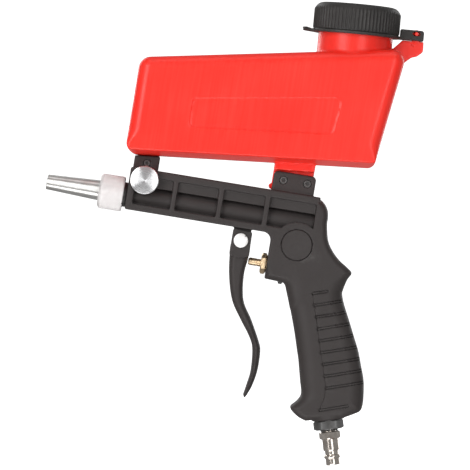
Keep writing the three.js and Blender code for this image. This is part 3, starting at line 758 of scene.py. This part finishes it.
# Mountings on the beam for the hopper.
POST_FRONT = -161.4
POST_REAR = -142.9
POST_HALF = 11
BRACKET_FRONT = -57.9
BRACKET_REAR = -26.4
BRACKET_TOP = 117.7
BRACKET_HALF = 10.4
LUG_HALF = 6
PLAY = 0.3

# Grip channels rise to the rear from a slanted line along the grip's front. The first and last are short.
CHANNELS = 9
CHANNEL_START = Vector((-15.4, 32.5))
CHANNEL_STEP = Vector((2.64, -8.41))
CHANNEL_RISE = math.radians(18)
CHANNEL_HALF = 0.85
CHANNEL_LINE_HALF = 0.34
CHANNEL_DEPTH = 0.8
CHANNEL_INNER = 7.5
LAST_CHANNEL = Vector((3.5, -51.7))
PAD_LINE_HALF = 0.35


def handle_width(z):
    heights, halves = zip(*HANDLE_WIDTHS)
    return np.interp(z, heights, halves)


def handle_field(p):
    """The curved grip with its tail: rounded widely at the palm, tighter at the beam and the foot."""
    outline = curve(HANDLE_BACK) + curve(HANDLE_FRONT)
    across = outline_field(p, outline)
    z = p[2]
    palm = ease(z, -58, -40) * (1 - ease(z, 36, 56))
    edge_in = 5 + 8 * palm
    edge_over = 6.5 + 4.5 * palm
    over = np.abs(p[1]) - handle_width(z)
    return bevelled(across, over, edge_in, edge_over)


def stroke(p, start, end, half):
    """Distance in the XZ plane to a round-ended line from start to end, half wide on each side."""
    x, z = p[0] - start[0], p[2] - start[1]
    along = Vector(end) - Vector(start)
    t = np.clip((x * along.x + z * along.y) / along.length_squared, 0, 1)
    return np.hypot(x - t * along.x, z - t * along.y) - half


def channel_cuts(p):
    """Distance in the XZ plane to the grip's channels and to the thin line that their pads start from."""
    rise = Vector((math.cos(CHANNEL_RISE), math.sin(CHANNEL_RISE)))
    starts = [CHANNEL_START + CHANNEL_STEP * i for i in range(CHANNELS)] + [LAST_CHANNEL]
    lengths = [10.5] + [60] * (CHANNELS - 1) + [20.5]
    nearest = np.inf
    for start, length in zip(starts, lengths):
        middle = stroke(p, start, start + rise * length, CHANNEL_HALF)
        nearest = np.minimum(nearest, np.abs(middle) - CHANNEL_LINE_HALF)
    thin = np.inf
    corner = Vector((5.6, -42))
    for start, end in zip(starts, [*starts[1:-1], corner]):
        thin = np.minimum(thin, stroke(p, start, end, PAD_LINE_HALF))
    thin = np.minimum(thin, stroke(p, corner, LAST_CHANNEL, PAD_LINE_HALF))
    return nearest, thin


def boss_field(p):
    return cross_rod(p, BOSS.x, BOSS.z, BOSS_RADIUS, -BEAM_HALF, BEAM_HALF, 0.8)


def housing_field(p):
    """The beam and the valve housing below it, with the round boss across it."""
    edge = 1.2 + 7 * (1 - ease(p[2], 34, 52))
    field = bevelled(outline_field(p, rounded(HOUSING)), np.abs(p[1]) - BEAM_HALF, edge, edge)
    return np.minimum(field, boss_field(p))


def window_cuts(p):
    """Distance into the windows: a step below the top rail, then deep to the web, round the barrel tube."""
    deep = np.inf
    shallow = np.inf
    beyond = BEAM_HALF + 4
    for x0, x1 in WINDOWS:
        for side in (-1, 1):
            outer = side * beyond
            step, web = side * SHELF_HALF, side * WEB_HALF
            deep = np.minimum(
                deep, block(p, x0, x1, min(web, outer), max(web, outer), WINDOW_LOW - 3, SHELF_LOW, 1.5)
            )
            shallow = np.minimum(
                shallow, block(p, x0, x1, min(step, outer), max(step, outer), WINDOW_LOW, WINDOW_HIGH, 1.6)
            )
    tube = rod(p, (BODY_FRONT, 0, AXIS_Z), (-15, 0, AXIS_Z), TUBE_RADIUS)
    sill = block(p, BODY_FRONT, -15, -BEAM_HALF, BEAM_HALF, 60, WINDOW_LOW, 0.8)
    deep = carve(carve(deep, tube, 0.5), sill)
    return carve(join(deep, carve(shallow, sill), 0.4), boss_field(p), 0.4)


def mountings_field(p):
    """The hopper's post and bracket on top of the beam, and the trigger's bearing lug below it."""
    post_outline = [
        (POST_FRONT, BEAM_TOP - 3, 0),
        (POST_REAR, BEAM_TOP - 3, 0),
        (POST_REAR, floor_at(POST_REAR) - PLAY, 0.8),
        (POST_FRONT, floor_at(POST_FRONT) - PLAY, 0.8),
    ]
    post = slab(p, rounded(post_outline, 3), POST_HALF, 1)
    bracket_outline = [
        (BRACKET_FRONT, BEAM_TOP - 3, 0),
        (BRACKET_REAR, BEAM_TOP - 3, 0),
        (BRACKET_REAR, BRACKET_TOP, 3.2),
        (BRACKET_FRONT, BRACKET_TOP, 3.2),
    ]
    bracket = slab(p, rounded(bracket_outline), BRACKET_HALF, 1)
    gap = LUG_HALF + PLAY
    lug_room = block(p, BRACKET_FRONT - 5, BRACKET_REAR + 5, -gap, gap, BEAM_TOP, 130, 0.4)
    bracket = carve(bracket, lug_room, 0.5)
    lug = join(
        block(p, -80.6, -67.5, -6, 6, PIVOT.z, BEAM_BOTTOM + 3, 0.6),
        cross_rod(p, PIVOT.x, PIVOT.z, 6.8, -6, 6, 0.6),
        0.8,
    )
    return np.minimum(np.minimum(post, bracket), lug)


def bores(p):
    """Distance into the holes and recesses that other pieces sit in."""
    far = BEAM_HALF + 4
    inner = BEAM_HALF - 2.6
    holes = [
        rod(p, (BODY_FRONT - 9, 0, AXIS_Z), (-143, 0, AXIS_Z), 6),
        rod(p, (-150, 0, AXIS_Z), (-37, 0, AXIS_Z), 4),
        cross_rod(p, BOSS.x, BOSS.z, DISC_RADIUS + 0.35, -far, -inner, 0.2),
        cross_rod(p, BOSS.x, BOSS.z, DISC_RADIUS + 0.35, inner, far, 0.2),
        cross_rod(p, SAND_VALVE.x, SAND_VALVE.z, 5.9, -far, far),
        cross_rod(p, PIVOT.x, PIVOT.z, 2.8, -far, far),
        cross_rod(p, SPOUT_SCREW.x, SPOUT_SCREW.z, 2.75, -far, -9.4),
        cross_rod(p, SPOUT_SCREW.x, SPOUT_SCREW.z, 2.75, 9.4, far),
        rod(p, (OUTLET_X, 0, 103), (OUTLET_X, 0, 122), 7.5),
        rod(p, (OUTLET_X, 0, AXIS_Z), (OUTLET_X, 0, 110), 4.2),
        rod(p, (-63, 0, STEM_Z), (-14.5, 0, STEM_Z), 6.6),
        rod(p, (-40.6, 0, 34), (-40.6, 0, AXIS_Z), 3),
        rod(p, INLET - INLET_AXIS * 13, INLET + INLET_AXIS * 3, 8.6),
        rod(p, INLET - INLET_AXIS * 112, INLET, 4.5),
    ]
    for screw in LUG_SCREWS:
        holes.append(cross_rod(p, screw.x, screw.z, 3.05, -far, -8.3))
        holes.append(cross_rod(p, screw.x, screw.z, 3.4, 8.3, far))
    nearest = holes[0]
    for hole in holes[1:]:
        nearest = np.minimum(nearest, hole)
    return nearest


def body_field(p):
    field = join(housing_field(p), handle_field(p), 3 * (1 - ease(p[2], 38, 50)))
    foot = rod(p, INLET - INLET_AXIS * 16, INLET, 11, 1)
    field = join(field, foot, 3)
    field = carve(field, window_cuts(p), 0.4)
    field = np.minimum(field, mountings_field(p))
    field = carve(field, bores(p), 0.4)
    channels, thin = channel_cuts(p)
    inner = CHANNEL_INNER - np.abs(p[1])
    channels = np.maximum(np.maximum(channels, inner), -(field + CHANNEL_DEPTH))
    field = carve(field, channels, 0.15)
    return carve(field, np.maximum(thin, -(field + 0.4)), 0.15)


xs = spaced(BODY_FRONT - 1, 37, 0.75, 0.42, -18, 35)
ys = spaced(-16, 16, 0.75)
zs = spaced(-64, 119, 0.75, 0.42, -54, 38)
CASTING_SHARE = 0.52
body_casting = thinned(mesh_object("gun_casting", *skin(body_field, xs, ys, zs), CASTING), CASTING_SHARE)
place(body_casting, "gun", "black_casting", "gun_body")


# ---------------------------------------------------------------- hopper

LABEL = [(-125.9, 160.1, 4), (-125.4, 138.4, 4), (-20.1, 150.1, 5), (-16.8, 178.3, 5)]
NECK_RADIUS = 27.6
NECK_BORE = 24.6
NECK_TOP = 12.2
EAR_HALF = 3
EAR = [
    (26, -13, 0), (28.9, -8.8, 1.2), (34.8, -2.6, 0), (50.5, -2.6, 0), (50.7, -10, 3), (46.5, -13.6, 4),
    (42.5, -14.8, 4), (36, -20.6, 0),
]
HINGE_SIDE = 44.7
HINGE_UP = 2.8


def hopper_body(p):
    """The tank without its fittings: round-edged sides, and a floor sloping up from a flat strip."""
    x, y, z = p
    height = z - floor_at(x)
    across = outline_field(p, rounded(HOPPER))
    edge = 1 + 8 * ease(height, 3, 20)
    tank = bevelled(across, np.abs(y) - HOPPER_HALF, edge, edge)
    chamfer = 0.155 * np.maximum(np.abs(y) - 8, 0) - height
    return clip(tank, chamfer, 1.5 * ease(np.abs(y), 18, 28))


def hopper_field(p):
    tank = hopper_body(p)
    x, y, z = p
    neck = rod(p, lid_xyz(0, -28), lid_xyz(0, NECK_TOP), NECK_RADIUS, 0.6)
    ear = slab(p, [lid_point(side, up) for side, up in rounded(EAR, 5)], EAR_HALF, 0.6)
    dimple = rod(p, lid_xyz(42.5, -4.9, -EAR_HALF - 1), lid_xyz(42.5, -4.9, -EAR_HALF + 0.7), 1.3, 0.4)
    tongue_outline = [lid_point(side, up) for side, up in ((42.1, -4), (47.3, -4), (47.3, 2.8), (42.1, 2.8))]
    hinge_x, hinge_z = lid_point(HINGE_SIDE, HINGE_UP)
    tongue = np.minimum(
        slab(p, tongue_outline, EAR_HALF, 0.3), cross_rod(p, hinge_x, hinge_z, 3.1, -EAR_HALF, EAR_HALF, 0.3)
    )
    pin = cross_rod(p, hinge_x, hinge_z, 1.4, -6.1, 6.1, 0.3)
    lug = block(p, BRACKET_FRONT - 0.7, -28.5, -LUG_HALF, LUG_HALF, BEAM_TOP + PLAY, 130, 0.6)
    base_outline = [
        (BRACKET_FRONT - 0.7, BRACKET_TOP + 0.6),
        (-28.5, BRACKET_TOP + 3.4),
        (-28.5, 131),
        (BRACKET_FRONT - 0.7, 125),
    ]
    base = slab(p, base_outline, 12, 1)
    bulge_x, bulge_half, bulge_z = BRACKET_FRONT - 0.6, LUG_HALF - 1.5, 106
    bulge = rod(p, (bulge_x, -bulge_half, bulge_z), (bulge_x, bulge_half, bulge_z), 2.0, 1)
    spout = rod(p, (OUTLET_X, 0, 104.6), (OUTLET_X, 0, 120), 7.2, 0.6)
    field = join(tank, neck, 2)
    field = join(field, ear, 1.5)
    field = join(field, np.minimum(base, spout), 1)
    field = np.minimum(np.minimum(field, tongue), np.minimum(pin, lug))
    field = join(field, bulge, 0.8)
    field = carve(field, dimple, 0.5)
    label = np.maximum(outline_field(p, rounded(LABEL)), HOPPER_HALF - 0.7 - np.abs(y))
    field = carve(field, label, 0.3)
    field = carve(field, tank + WALL)
    field = carve(field, rod(p, lid_xyz(0, -26), lid_xyz(0, NECK_TOP + 3), NECK_BORE), 0.6)
    field = carve(field, rod(p, (OUTLET_X, 0, 102), (OUTLET_X, 0, 122), 5.2))
    for screw in LUG_SCREWS:
        field = carve(field, cross_rod(p, screw.x, screw.z, 2, -20, 20))
    return carve(field, cross_rod(p, SPOUT_SCREW.x, SPOUT_SCREW.z, 1.6, -20, 20))


xs = spaced(-170, 37, 1.05, 0.7, 12, 37)
ys = spaced(-33, 33, 1.05)
zs = spaced(102, 242, 1.05, 0.7, 215, 236)
HOPPER_SHARE = 0.55
tank_shell = thinned(mesh_object("hopper_shell", *skin(hopper_field, xs, ys, zs), RED), HOPPER_SHARE)
place(tank_shell, "gun", "red_plastic", "hopper")


# ---------------------------------------------------------------- lid: cap, collar and hinge

CAP_RIBS = 72
CAP_SEGMENTS = CAP_RIBS * 8
COLLAR_RADIUS = 32.9
COLLAR_LOW = -2.2
COLLAR_BORE = 28.6
CHEEK_HALF = 6.5

ribs = ribbed(CAP_RIBS, 0.65, 1.6)
fading_ribs = ribbed(CAP_RIBS, 0.3, 1.6)
cap_profile = [
    (0, 17.2), (21.6, 17.2), (22.4, 17.4), (22.9, 18.2), (23.3, 19.8), (24.2, 20.25), (26.4, 20.3),
    (28.4, 19.7), (30, 18.5), (30.8, 17.5), (31.2, 16.5, fading_ribs), (31.5, 15.2, ribs),
    (31.5, 8, ribs), (31.5, 1.6, ribs), (31.6, 1.0, fading_ribs), (31.7, 0.5), (31.4, 0.3),
    (29.8, 0.3), (29.6, 0.6), (29.6, 1.8), (30, 1.9), (30, 14.6), (29.8, 14.8), (0, 14.8),
]
cap = turned_object("cap_shell", LID_BLACK, cap_profile, LID, LID_AXIS, CAP_SEGMENTS)
place(cap, "cap", "black_plastic", "filler_cap")

collar_profile = [
    (COLLAR_BORE, COLLAR_LOW), (COLLAR_RADIUS - 0.5, COLLAR_LOW), (COLLAR_RADIUS, COLLAR_LOW + 0.5),
    (COLLAR_RADIUS, -0.5), (COLLAR_RADIUS - 0.4, -0.05), (29.3, 0), (29.3, 2), (29.5, 2.3), (29.3, 2.9),
    (COLLAR_BORE, 2.9),
]
collar = turned_object("collar_ring", LID_BLACK, collar_profile, LID, LID_AXIS, 144)
place(collar, "lid", "black_plastic", "lid_collar")

TAB = [(-30, -0.1, 0), (-30, -2.1, 0), (-39, -1.7, 0.6), (-39.8, 0.9, 0.6), (-36.5, 0.9, 2), (-33, -0.1, 1)]
ARM = [
    (31, COLLAR_LOW, 0), (50.2, COLLAR_LOW, 0.8), (50.2, 5.5, 2), (32.7, 5.5, 0.8), (32.7, -0.2, 0.1),
    (31, -0.2, 0),
]
SLOT_PLAY = 1.15


def lid_outline(corners, steps=5):
    return [lid_point(side, up) for side, up in rounded(corners, steps)]


def hinge_field(p):
    """The forked arm of the collar with its oblong pin holes, and the finger tab opposite."""
    arm = slab(p, lid_outline(ARM), CHEEK_HALF, 0.6)
    fork_outline = lid_outline([(41.3, -8, 0), (56, -8, 0), (56, 12, 0), (41.3, 12, 0)])
    fork = slab(p, fork_outline, EAR_HALF + PLAY, 0.2)
    slot = [
        (HINGE_SIDE - SLOT_PLAY - 1.7, HINGE_UP - 1.5, 1.49),
        (HINGE_SIDE + SLOT_PLAY + 1.7, HINGE_UP - 1.5, 1.49),
        (HINGE_SIDE + SLOT_PLAY + 1.7, HINGE_UP + 1.5, 1.49),
        (HINGE_SIDE - SLOT_PLAY - 1.7, HINGE_UP + 1.5, 1.49),
    ]
    arm = carve(carve(arm, fork, 0.3), slab(p, lid_outline(slot), 20, 0.1), 0.4)
    tab = np.maximum(slab(p, lid_outline(TAB), 12, 0.5), rod(p, lid_xyz(-27.8, -9), lid_xyz(-27.8, 9), 12))
    bore = rod(p, lid_xyz(0, -9), lid_xyz(0, 9), COLLAR_BORE + 2.5)
    return carve(np.minimum(arm, tab), bore)


xs = np.concatenate([spaced(-56, -40, 0.45), spaced(12, 38, 0.45)])
ys = spaced(-13, 13, 0.45)
zs = spaced(221, 242, 0.45)
hinge = mesh_object("collar_hinge", *skin(hinge_field, xs, ys, zs), LID_BLACK)
place(hinge, "lid", "black_plastic", "lid_collar")


# ---------------------------------------------------------------- nozzle, adapter and nut

BARREL_ORIGIN = Vector((0, 0, AXIS_Z))
NOZZLE_TIP = low("nozzle").x
NUT_FRONT = low("nozzle_nut").x
NUT_REAR = high("nozzle_nut").x

nozzle_profile = soften(
    [
        (3.1, NOZZLE_TIP + 0.4), (3.6, NOZZLE_TIP), (5.2, NOZZLE_TIP), (5.55, NOZZLE_TIP + 0.4),
        (7.5, NUT_FRONT), (7.5, -181), (9.1, -181), (9.1, -174.3), (5, -174.3), (3, -178),
    ],
    0.3,
)
nozzle = turned_object("nozzle_tube", NOZZLE_STEEL, nozzle_profile, BARREL_ORIGIN, X_AXIS, 96)
place(nozzle, "gun", "steel", "nozzle")

knurl = ribbed(96, 0.25)
nut_profile = [
    (7.8, NUT_FRONT), (11.0, NUT_FRONT), (11.3, NUT_FRONT + 0.1), (12.7, NUT_FRONT + 1.6),
    (12.8, NUT_FRONT + 2.1), (12.75, NUT_FRONT + 2.3, knurl), (12.75, NUT_REAR - 1.3, knurl),
    (12.8, NUT_REAR - 1.1), (12.8, NUT_REAR - 0.5), (12.3, NUT_REAR), (9.45, NUT_REAR), (9.45, -181.3),
    (7.8, -181.3),
]
nut = turned_object("nut_knurled", NUT_METAL, nut_profile, BARREL_ORIGIN, X_AXIS, 96 * 6)
place(nut, "nozzle_nut", "aluminium", "nozzle_nut")

FACE = BODY_FRONT - PLAY
adapter_profile = soften(
    [(4.6, -172.3), (9.15, -172.3), (9.15, FACE), (5.7, FACE), (5.7, -158), (4.6, -158)], 0.3
)
adapter = turned_object("adapter_tube", BLACK_STEEL, adapter_profile, BARREL_ORIGIN, X_AXIS)
place(adapter, "gun", "black_steel", "nozzle_adapter")


# ---------------------------------------------------------------- sand knob, discs and screws

KNOB_BACK = -13.5
KNOB_FACE = -20.8
KNOB_RADIUS = 10.5
VALVE_ORIGIN = Vector((SAND_VALVE.x, 0, SAND_VALVE.z))
knob_profile = [
    (0, KNOB_FACE + 0.15), (0.7, KNOB_FACE + 0.12), (1.4, KNOB_FACE + 0.02), (2.4, KNOB_FACE),
    (KNOB_RADIUS - 0.9, KNOB_FACE), (KNOB_RADIUS - 0.35, KNOB_FACE + 0.25),
    (KNOB_RADIUS - 0.1, KNOB_FACE + 0.9), (KNOB_RADIUS, KNOB_FACE + 1.4),
    (KNOB_RADIUS, KNOB_BACK - 0.7), (KNOB_RADIUS - 0.6, KNOB_BACK), (3.3, KNOB_BACK),
    (3.3, KNOB_FACE + 2.5), (0, KNOB_FACE + 2.5),
]
knob = turned_object("knob_turned", KNOB_METAL, knob_profile, VALVE_ORIGIN, Y_AXIS, 128, 30)
place(knob, "sand_valve", "aluminium", "sand_knob")

for side, node in ((-1, "side_disc_left"), (1, "side_disc_right")):
    inner, outer = side * (BEAM_HALF - 2.6), side * (BEAM_HALF - 0.05)
    profile = [
        (0, inner), (DISC_RADIUS, inner), (DISC_RADIUS, outer - side * 0.5), (DISC_RADIUS - 0.5, outer),
        (0, outer),
    ]
    disc = turned_object(f"cover_{node}", CASTING, profile, Vector((BOSS.x, 0, BOSS.z)), Y_AXIS, 96)
    place(disc, "gun", "black_casting", node)


def socket_screw(name, node, x, z, side, bed, top, head, socket, end, shank):
    """A round-headed screw across the gun, with a hexagon socket sunk in its head."""
    deep = top - 1.0
    key = hexagon(socket)
    profile = [
        (0, deep * side, plain), (socket, deep * side, key), (socket, (top - 0.15) * side, key),
        (socket * 0.62 + 0.2, top * side), (head - 0.5, top * side), (head, (top - 0.5) * side),
        (head, bed * side), (shank, bed * side), (shank, end * side), (0, end * side),
    ]
    screw = turned_object(name, BLACK_STEEL, profile, Vector((x, 0, z)), Y_AXIS, 48)
    place(screw, "gun", "black_steel", node)


for node in ("lug_screw_front", "lug_screw_rear"):
    spot = centre(node)
    socket_screw(f"{node}_detail", node, spot.x, spot.z, -1, 8.6, 10.2, 2.9, 2.6, -10.2, 1.7)
for side, node in ((-1, "spout_screw_left"), (1, "spout_screw_right")):
    spot = centre(node)
    socket_screw(f"{node}_detail", node, spot.x, spot.z, side, 9.7, 10.9, 2.6, 2.0, 5.5, 1.3)


# ---------------------------------------------------------------- trigger and its pin

TRIGGER_HALF = 8
EAR_ARC = 12.9
PIN_NOTCH = math.radians(-50)
BLADE_FRONT = [
    (-80.9, 68), (-80.9, 54.2), (-78.6, 35.9), (-73.4, 18), (-64.5, 4.4), (-57.2, -5.6), (-53.0, -14.5),
    (-51.5, -30.9), (-53, -42.4), (-54.2, -49.4),
]
BLADE_REAR = [
    (-51.3, -49.6), (-48.4, -41.6), (-46.4, -30.1), (-46.6, -16.5), (-48.7, -9.5), (-56.8, 5.7),
    (-65, 19.3), (-67.7, 37.7), (-66.4, 53), (-66.9, 68),
]


def trigger_field(p):
    """The curved blade, its two ears round the pivot, and the slot between them."""
    x, y, z = p
    outline = curve(BLADE_FRONT) + [(-52.9, -52.2)] + curve(BLADE_REAR)
    across = outline_field(p, outline)
    blade = bevelled(across, np.abs(y) - TRIGGER_HALF, 4.2, 5.5)
    blade = np.maximum(blade, z - 66)
    ear_outline = [(-81, 46, 0), (-66.3, 46, 0), (-66.6, 70, 1.6), (-81, 70.6, 1.6)]
    ears = slab(p, rounded(ear_outline, 4), 9.4, 0.7)
    ears = clip(ears, cross_rod(p, PIVOT.x, PIVOT.z, EAR_ARC, -12, 12, 0.5), 0.6)
    field = join(blade, ears, 0.5)
    slot = join(
        cross_rod(p, PIVOT.x, PIVOT.z, 7.3, -6.3, 6.3, 0.3),
        block(p, -90, -55, -6.3, 6.3, PIVOT.z - 3.5, 80, 0.3),
        0.5,
    )
    field = carve(field, slot, 0.3)
    return carve(field, cross_rod(p, PIVOT.x, PIVOT.z, 2.8, -12, 12))


xs = spaced(-82, -45, 0.6)
ys = spaced(-10, 10, 0.6)
zs = spaced(-53, 71, 0.6)
trigger = mesh_object("trigger_blade", *skin(trigger_field, xs, ys, zs), CASTING)
place(trigger, "trigger", "black_casting", "trigger")


def notched(angle, radius):
    """The pin's head with a small notch staked into its edge."""
    off = math.remainder(angle - PIN_NOTCH, 2 * math.pi)
    depth = 0.9 * max(0.0, 1 - abs(off) / 0.16)
    return radius - depth


pin_profile = [
    (0, -11.45), (3.6, -11.4, plain), (4.6, -11.3, notched), (5.2, -11.0, notched),
    (5.35, -10.6, notched), (5.35, -9.75, notched), (2.5, -9.7), (2.5, 9.8), (1.9, 9.8), (1.9, 10.6),
    (2.5, 10.6), (2.5, 11.2), (2.3, 11.4), (0, 11.4),
]
pin = turned_object("pivot_pin", PIN_METAL, pin_profile, Vector((PIVOT.x, 0, PIVOT.z)), Y_AXIS, 144)
place(pin, "gun", "steel", "trigger_pin")


# ---------------------------------------------------------------- air valve stem and gland

STEM_ORIGIN = Vector((0, 0, STEM_Z))
STEM_TIP = low("valve_stem").x
stem_profile = [
    (0, STEM_TIP), (1.5, STEM_TIP), (2.3, STEM_TIP + 0.3), (2.8, STEM_TIP + 1.2), (2.8, -60.2),
    (2.6, -59.9), (2.6, -59.5), (2.8, -59.2), (2.8, -56.5), (2.65, -56), (2.65, -43.5), (1.8, -42.5),
    (1.8, -29.4), (4.6, -29.4), (4.6, -27.2), (1.6, -27.2), (1.6, -20.5), (0, -20.5),
]
stem = turned_object("stem_turned", BRASS, stem_profile, STEM_ORIGIN, X_AXIS)
place(stem, "valve", "brass", "valve_stem")

gland_hex = hexagon(13.6, 0)
gland_profile = [
    (2.9, -56.2), (3.3, -57), (6.3, -57), (7.9, -56.1, gland_hex), (7.9, -53.6, gland_hex), (6.6, -52.9),
    (6.2, -52.5), (6.3, -52.2), (6.3, -46), (4.7, -46), (4.7, -48.6), (2.9, -48.6),
]
gland = turned_object("gland_hex", BRASS, gland_profile, STEM_ORIGIN, X_AXIS, 96, CRISP)
place(gland, "gun", "brass", "valve_gland")


# ---------------------------------------------------------------- screw that closes the air passage

PASSAGE_SCREW = centre("passage_screw")
SCREW_END = low("passage_screw").z
screw_profile = [
    (0, SCREW_END - 0.9), (1.1, SCREW_END - 0.8), (1.5, SCREW_END - 0.3), (1.5, SCREW_END + 0.3),
    (1.9, SCREW_END + 0.3), (1.9, high("passage_screw").z), (0, high("passage_screw").z),
]
SCREW_ORIGIN = Vector((PASSAGE_SCREW.x, 0, 0))
screw = turned_object("passage_screw_detail", BLACK_STEEL, screw_profile, SCREW_ORIGIN, Z_AXIS)
place(screw, "gun", "black_steel", "passage_screw")


# ---------------------------------------------------------------- air inlet

bushing_hex = hexagon(19.4, 0)
bushing_profile = [
    (5.3, -12.5), (8.0, -12.5), (8.3, -12.1), (8.3, PLAY), (9.6, PLAY), (11.3, PLAY + 0.9, bushing_hex),
    (11.3, 6.4, bushing_hex), (9.5, 7.2), (5.3, 7.2),
]
bushing = turned_object("bushing_hex", BLACK_STEEL, bushing_profile, INLET, INLET_AXIS, 96, CRISP)
place(bushing, "gun", "black_steel", "inlet_bushing")

plug_hex = hexagon(14, 10)
plug_profile = [
    (3.2, -6), (4.6, -6), (5, -5.6), (5, 8.6), (6.6, 8.6), (8.1, 9.4, plug_hex), (8.1, 13.5, plug_hex),
    (6.6, 14.3), (6, 14.4), (6, 22.3), (5.8, 22.7), (5.1, 22.95), (4.95, 23.3), (4.95, 25.6),
    (5.1, 25.95), (5.8, 26.4), (6, 26.8), (6, 27.8), (5.8, 28.4), (5.25, 28.8), (5.15, 29.1),
    (5.15, 32.8), (4.9, 33.4), (4.4, PLUG_LENGTH), (3.5, PLUG_LENGTH), (3.2, 33.3),
]
plug = turned_object("plug_turned", NICKEL, plug_profile, INLET, INLET_AXIS, 96, CRISP)
place(plug, "gun", "nickel", "inlet_plug")


# ---------------------------------------------------------------- finishes of the pieces kept from the frame

KEPT = {
    RUBBER: [
        "nozzle_seal", "spout_seal", "spindle_seal_left", "spindle_seal_right", "poppet_seal", "gland_seal",
        "inlet_washer", "cap_gasket",
    ],
    STEEL: ["sand_spindle", "spindle_clip", "trigger_pin_clip", "valve_spring"],
    BRASS: ["air_jet", "valve_seat"],
    BLACK_STEEL: ["lug_nut_front", "lug_nut_rear"],
}
for material, names in KEPT.items():
    for name in names:
        mesh = frame["nodes"][name].data
        mesh.materials.clear()
        mesh.materials.append(material)
        mesh.set_sharp_from_angle(angle=math.radians(35))


# ---------------------------------------------------------------- stage, lights and camera

ROLL = math.radians(-9.3)
VIEW_CENTRE = Vector((-79.0, 0, 65.8)) * MM
VIEW_WIDTH = 0.3478
DISTANCE = 4.0
PAPER_GLOW = 0.95


def paper_material():
    """Matt white paper, very slightly mottled."""
    m = Shader("paper_white")
    m.colour(m.mixed(m.noise(60), (0.91, 0.91, 0.91), (0.93, 0.93, 0.93)))
    m.roughness(m.spread(m.noise(30), 0.3, 0.7, 0.88, 0.95))
    m.bumps((m.noise(0.5), 0.02, 0.1))
    m.shader.inputs["Emission Color"].default_value = (1, 1, 1, 1)
    m.shader.inputs["Emission Strength"].default_value = PAPER_GLOW
    return m.material


def paper_bowl():
    """Paper that lies flat under the gun and curves up far away on every side."""
    flat, bend, top, sides, steps = 9000, 2000, 9000, 96, 12
    profile = [(flat, 0)]
    for i in range(1, steps + 1):
        angle = math.pi / 2 * i / steps
        profile.append((flat + bend * math.sin(angle), bend * (1 - math.cos(angle))))
    profile.append((flat + bend, top))
    floor_z = cad_box[0].z / MM - 0.05
    vertices = [(0, 0, floor_z)]
    for reach, rise in profile:
        for i in range(sides):
            turn = 2 * math.pi * i / sides
            vertices.append((reach * math.cos(turn), reach * math.sin(turn), floor_z + rise))
    faces = [(0, 1 + i, 1 + (i + 1) % sides) for i in range(sides)]
    for ring in range(len(profile) - 1):
        for i in range(sides):
            here, beside = 1 + ring * sides + i, 1 + ring * sides + (i + 1) % sides
            faces.append((here, here + sides, beside + sides, beside))
    mesh = bpy.data.meshes.new("paper_bowl")
    mesh.from_pydata([tuple(c * MM for c in v) for v in vertices], [], faces)
    mesh.shade_smooth()
    mesh.materials.append(paper_material())
    bowl = bpy.data.objects.new("paper_bowl", mesh)
    bpy.context.scene.collection.objects.link(bowl)
    bowl.visible_glossy = False
    bowl.visible_diffuse = False
    bowl.visible_shadow = False


def area_light(name, spot, size, power, target=VIEW_CENTRE):
    light = bpy.data.lights.new(name, "AREA")
    light.shape = "RECTANGLE"
    light.size, light.size_y = size
    light.energy = power
    lamp = bpy.data.objects.new(name, light)
    bpy.context.scene.collection.objects.link(lamp)
    lamp.location = spot
    lamp.rotation_mode = "QUATERNION"
    lamp.rotation_quaternion = (Vector(target) - lamp.location).to_track_quat("-Z", "Y")


paper_bowl()
area_light("softbox_left", (-0.85, -1.05, 0.30), (0.55, 1.3), 10)
area_light("softbox_right", (0.42, -1.25, 0.25), (0.4, 1.3), 5)
area_light("overhead", (-0.1, -0.3, 1.5), (1.4, 0.7), 3)
area_light("floor_glow", (-0.1, -0.6, -0.8), (1.2, 0.5), 6)
area_light("back_left", (-0.9, 1.2, 0.5), (0.6, 1.2), 6)
area_light("back_right", (0.9, 1.2, 0.5), (0.6, 1.2), 6)

world = bpy.data.worlds.new("studio")
world.use_nodes = True
room = world.node_tree.nodes["Background"]
room.inputs["Color"].default_value = (1, 1, 1, 1)
room.inputs["Strength"].default_value = 0.32
bpy.context.scene.world = world

camera_data = bpy.data.cameras.new("camera")
camera_data.sensor_width = 36
camera_data.lens = 18 / (VIEW_WIDTH / 2 / DISTANCE)
camera_data.clip_start = 0.1
camera_data.clip_end = 50
camera = bpy.data.objects.new("camera", camera_data)
bpy.context.scene.collection.objects.link(camera)
camera.location = VIEW_CENTRE - Y_AXIS * DISTANCE
camera.rotation_mode = "QUATERNION"
camera.rotation_quaternion = Quaternion(Y_AXIS, ROLL) @ Y_AXIS.to_track_quat("-Z", "Y")
bpy.context.scene.camera = camera
bpy.context.scene.view_settings.view_transform = "Standard"
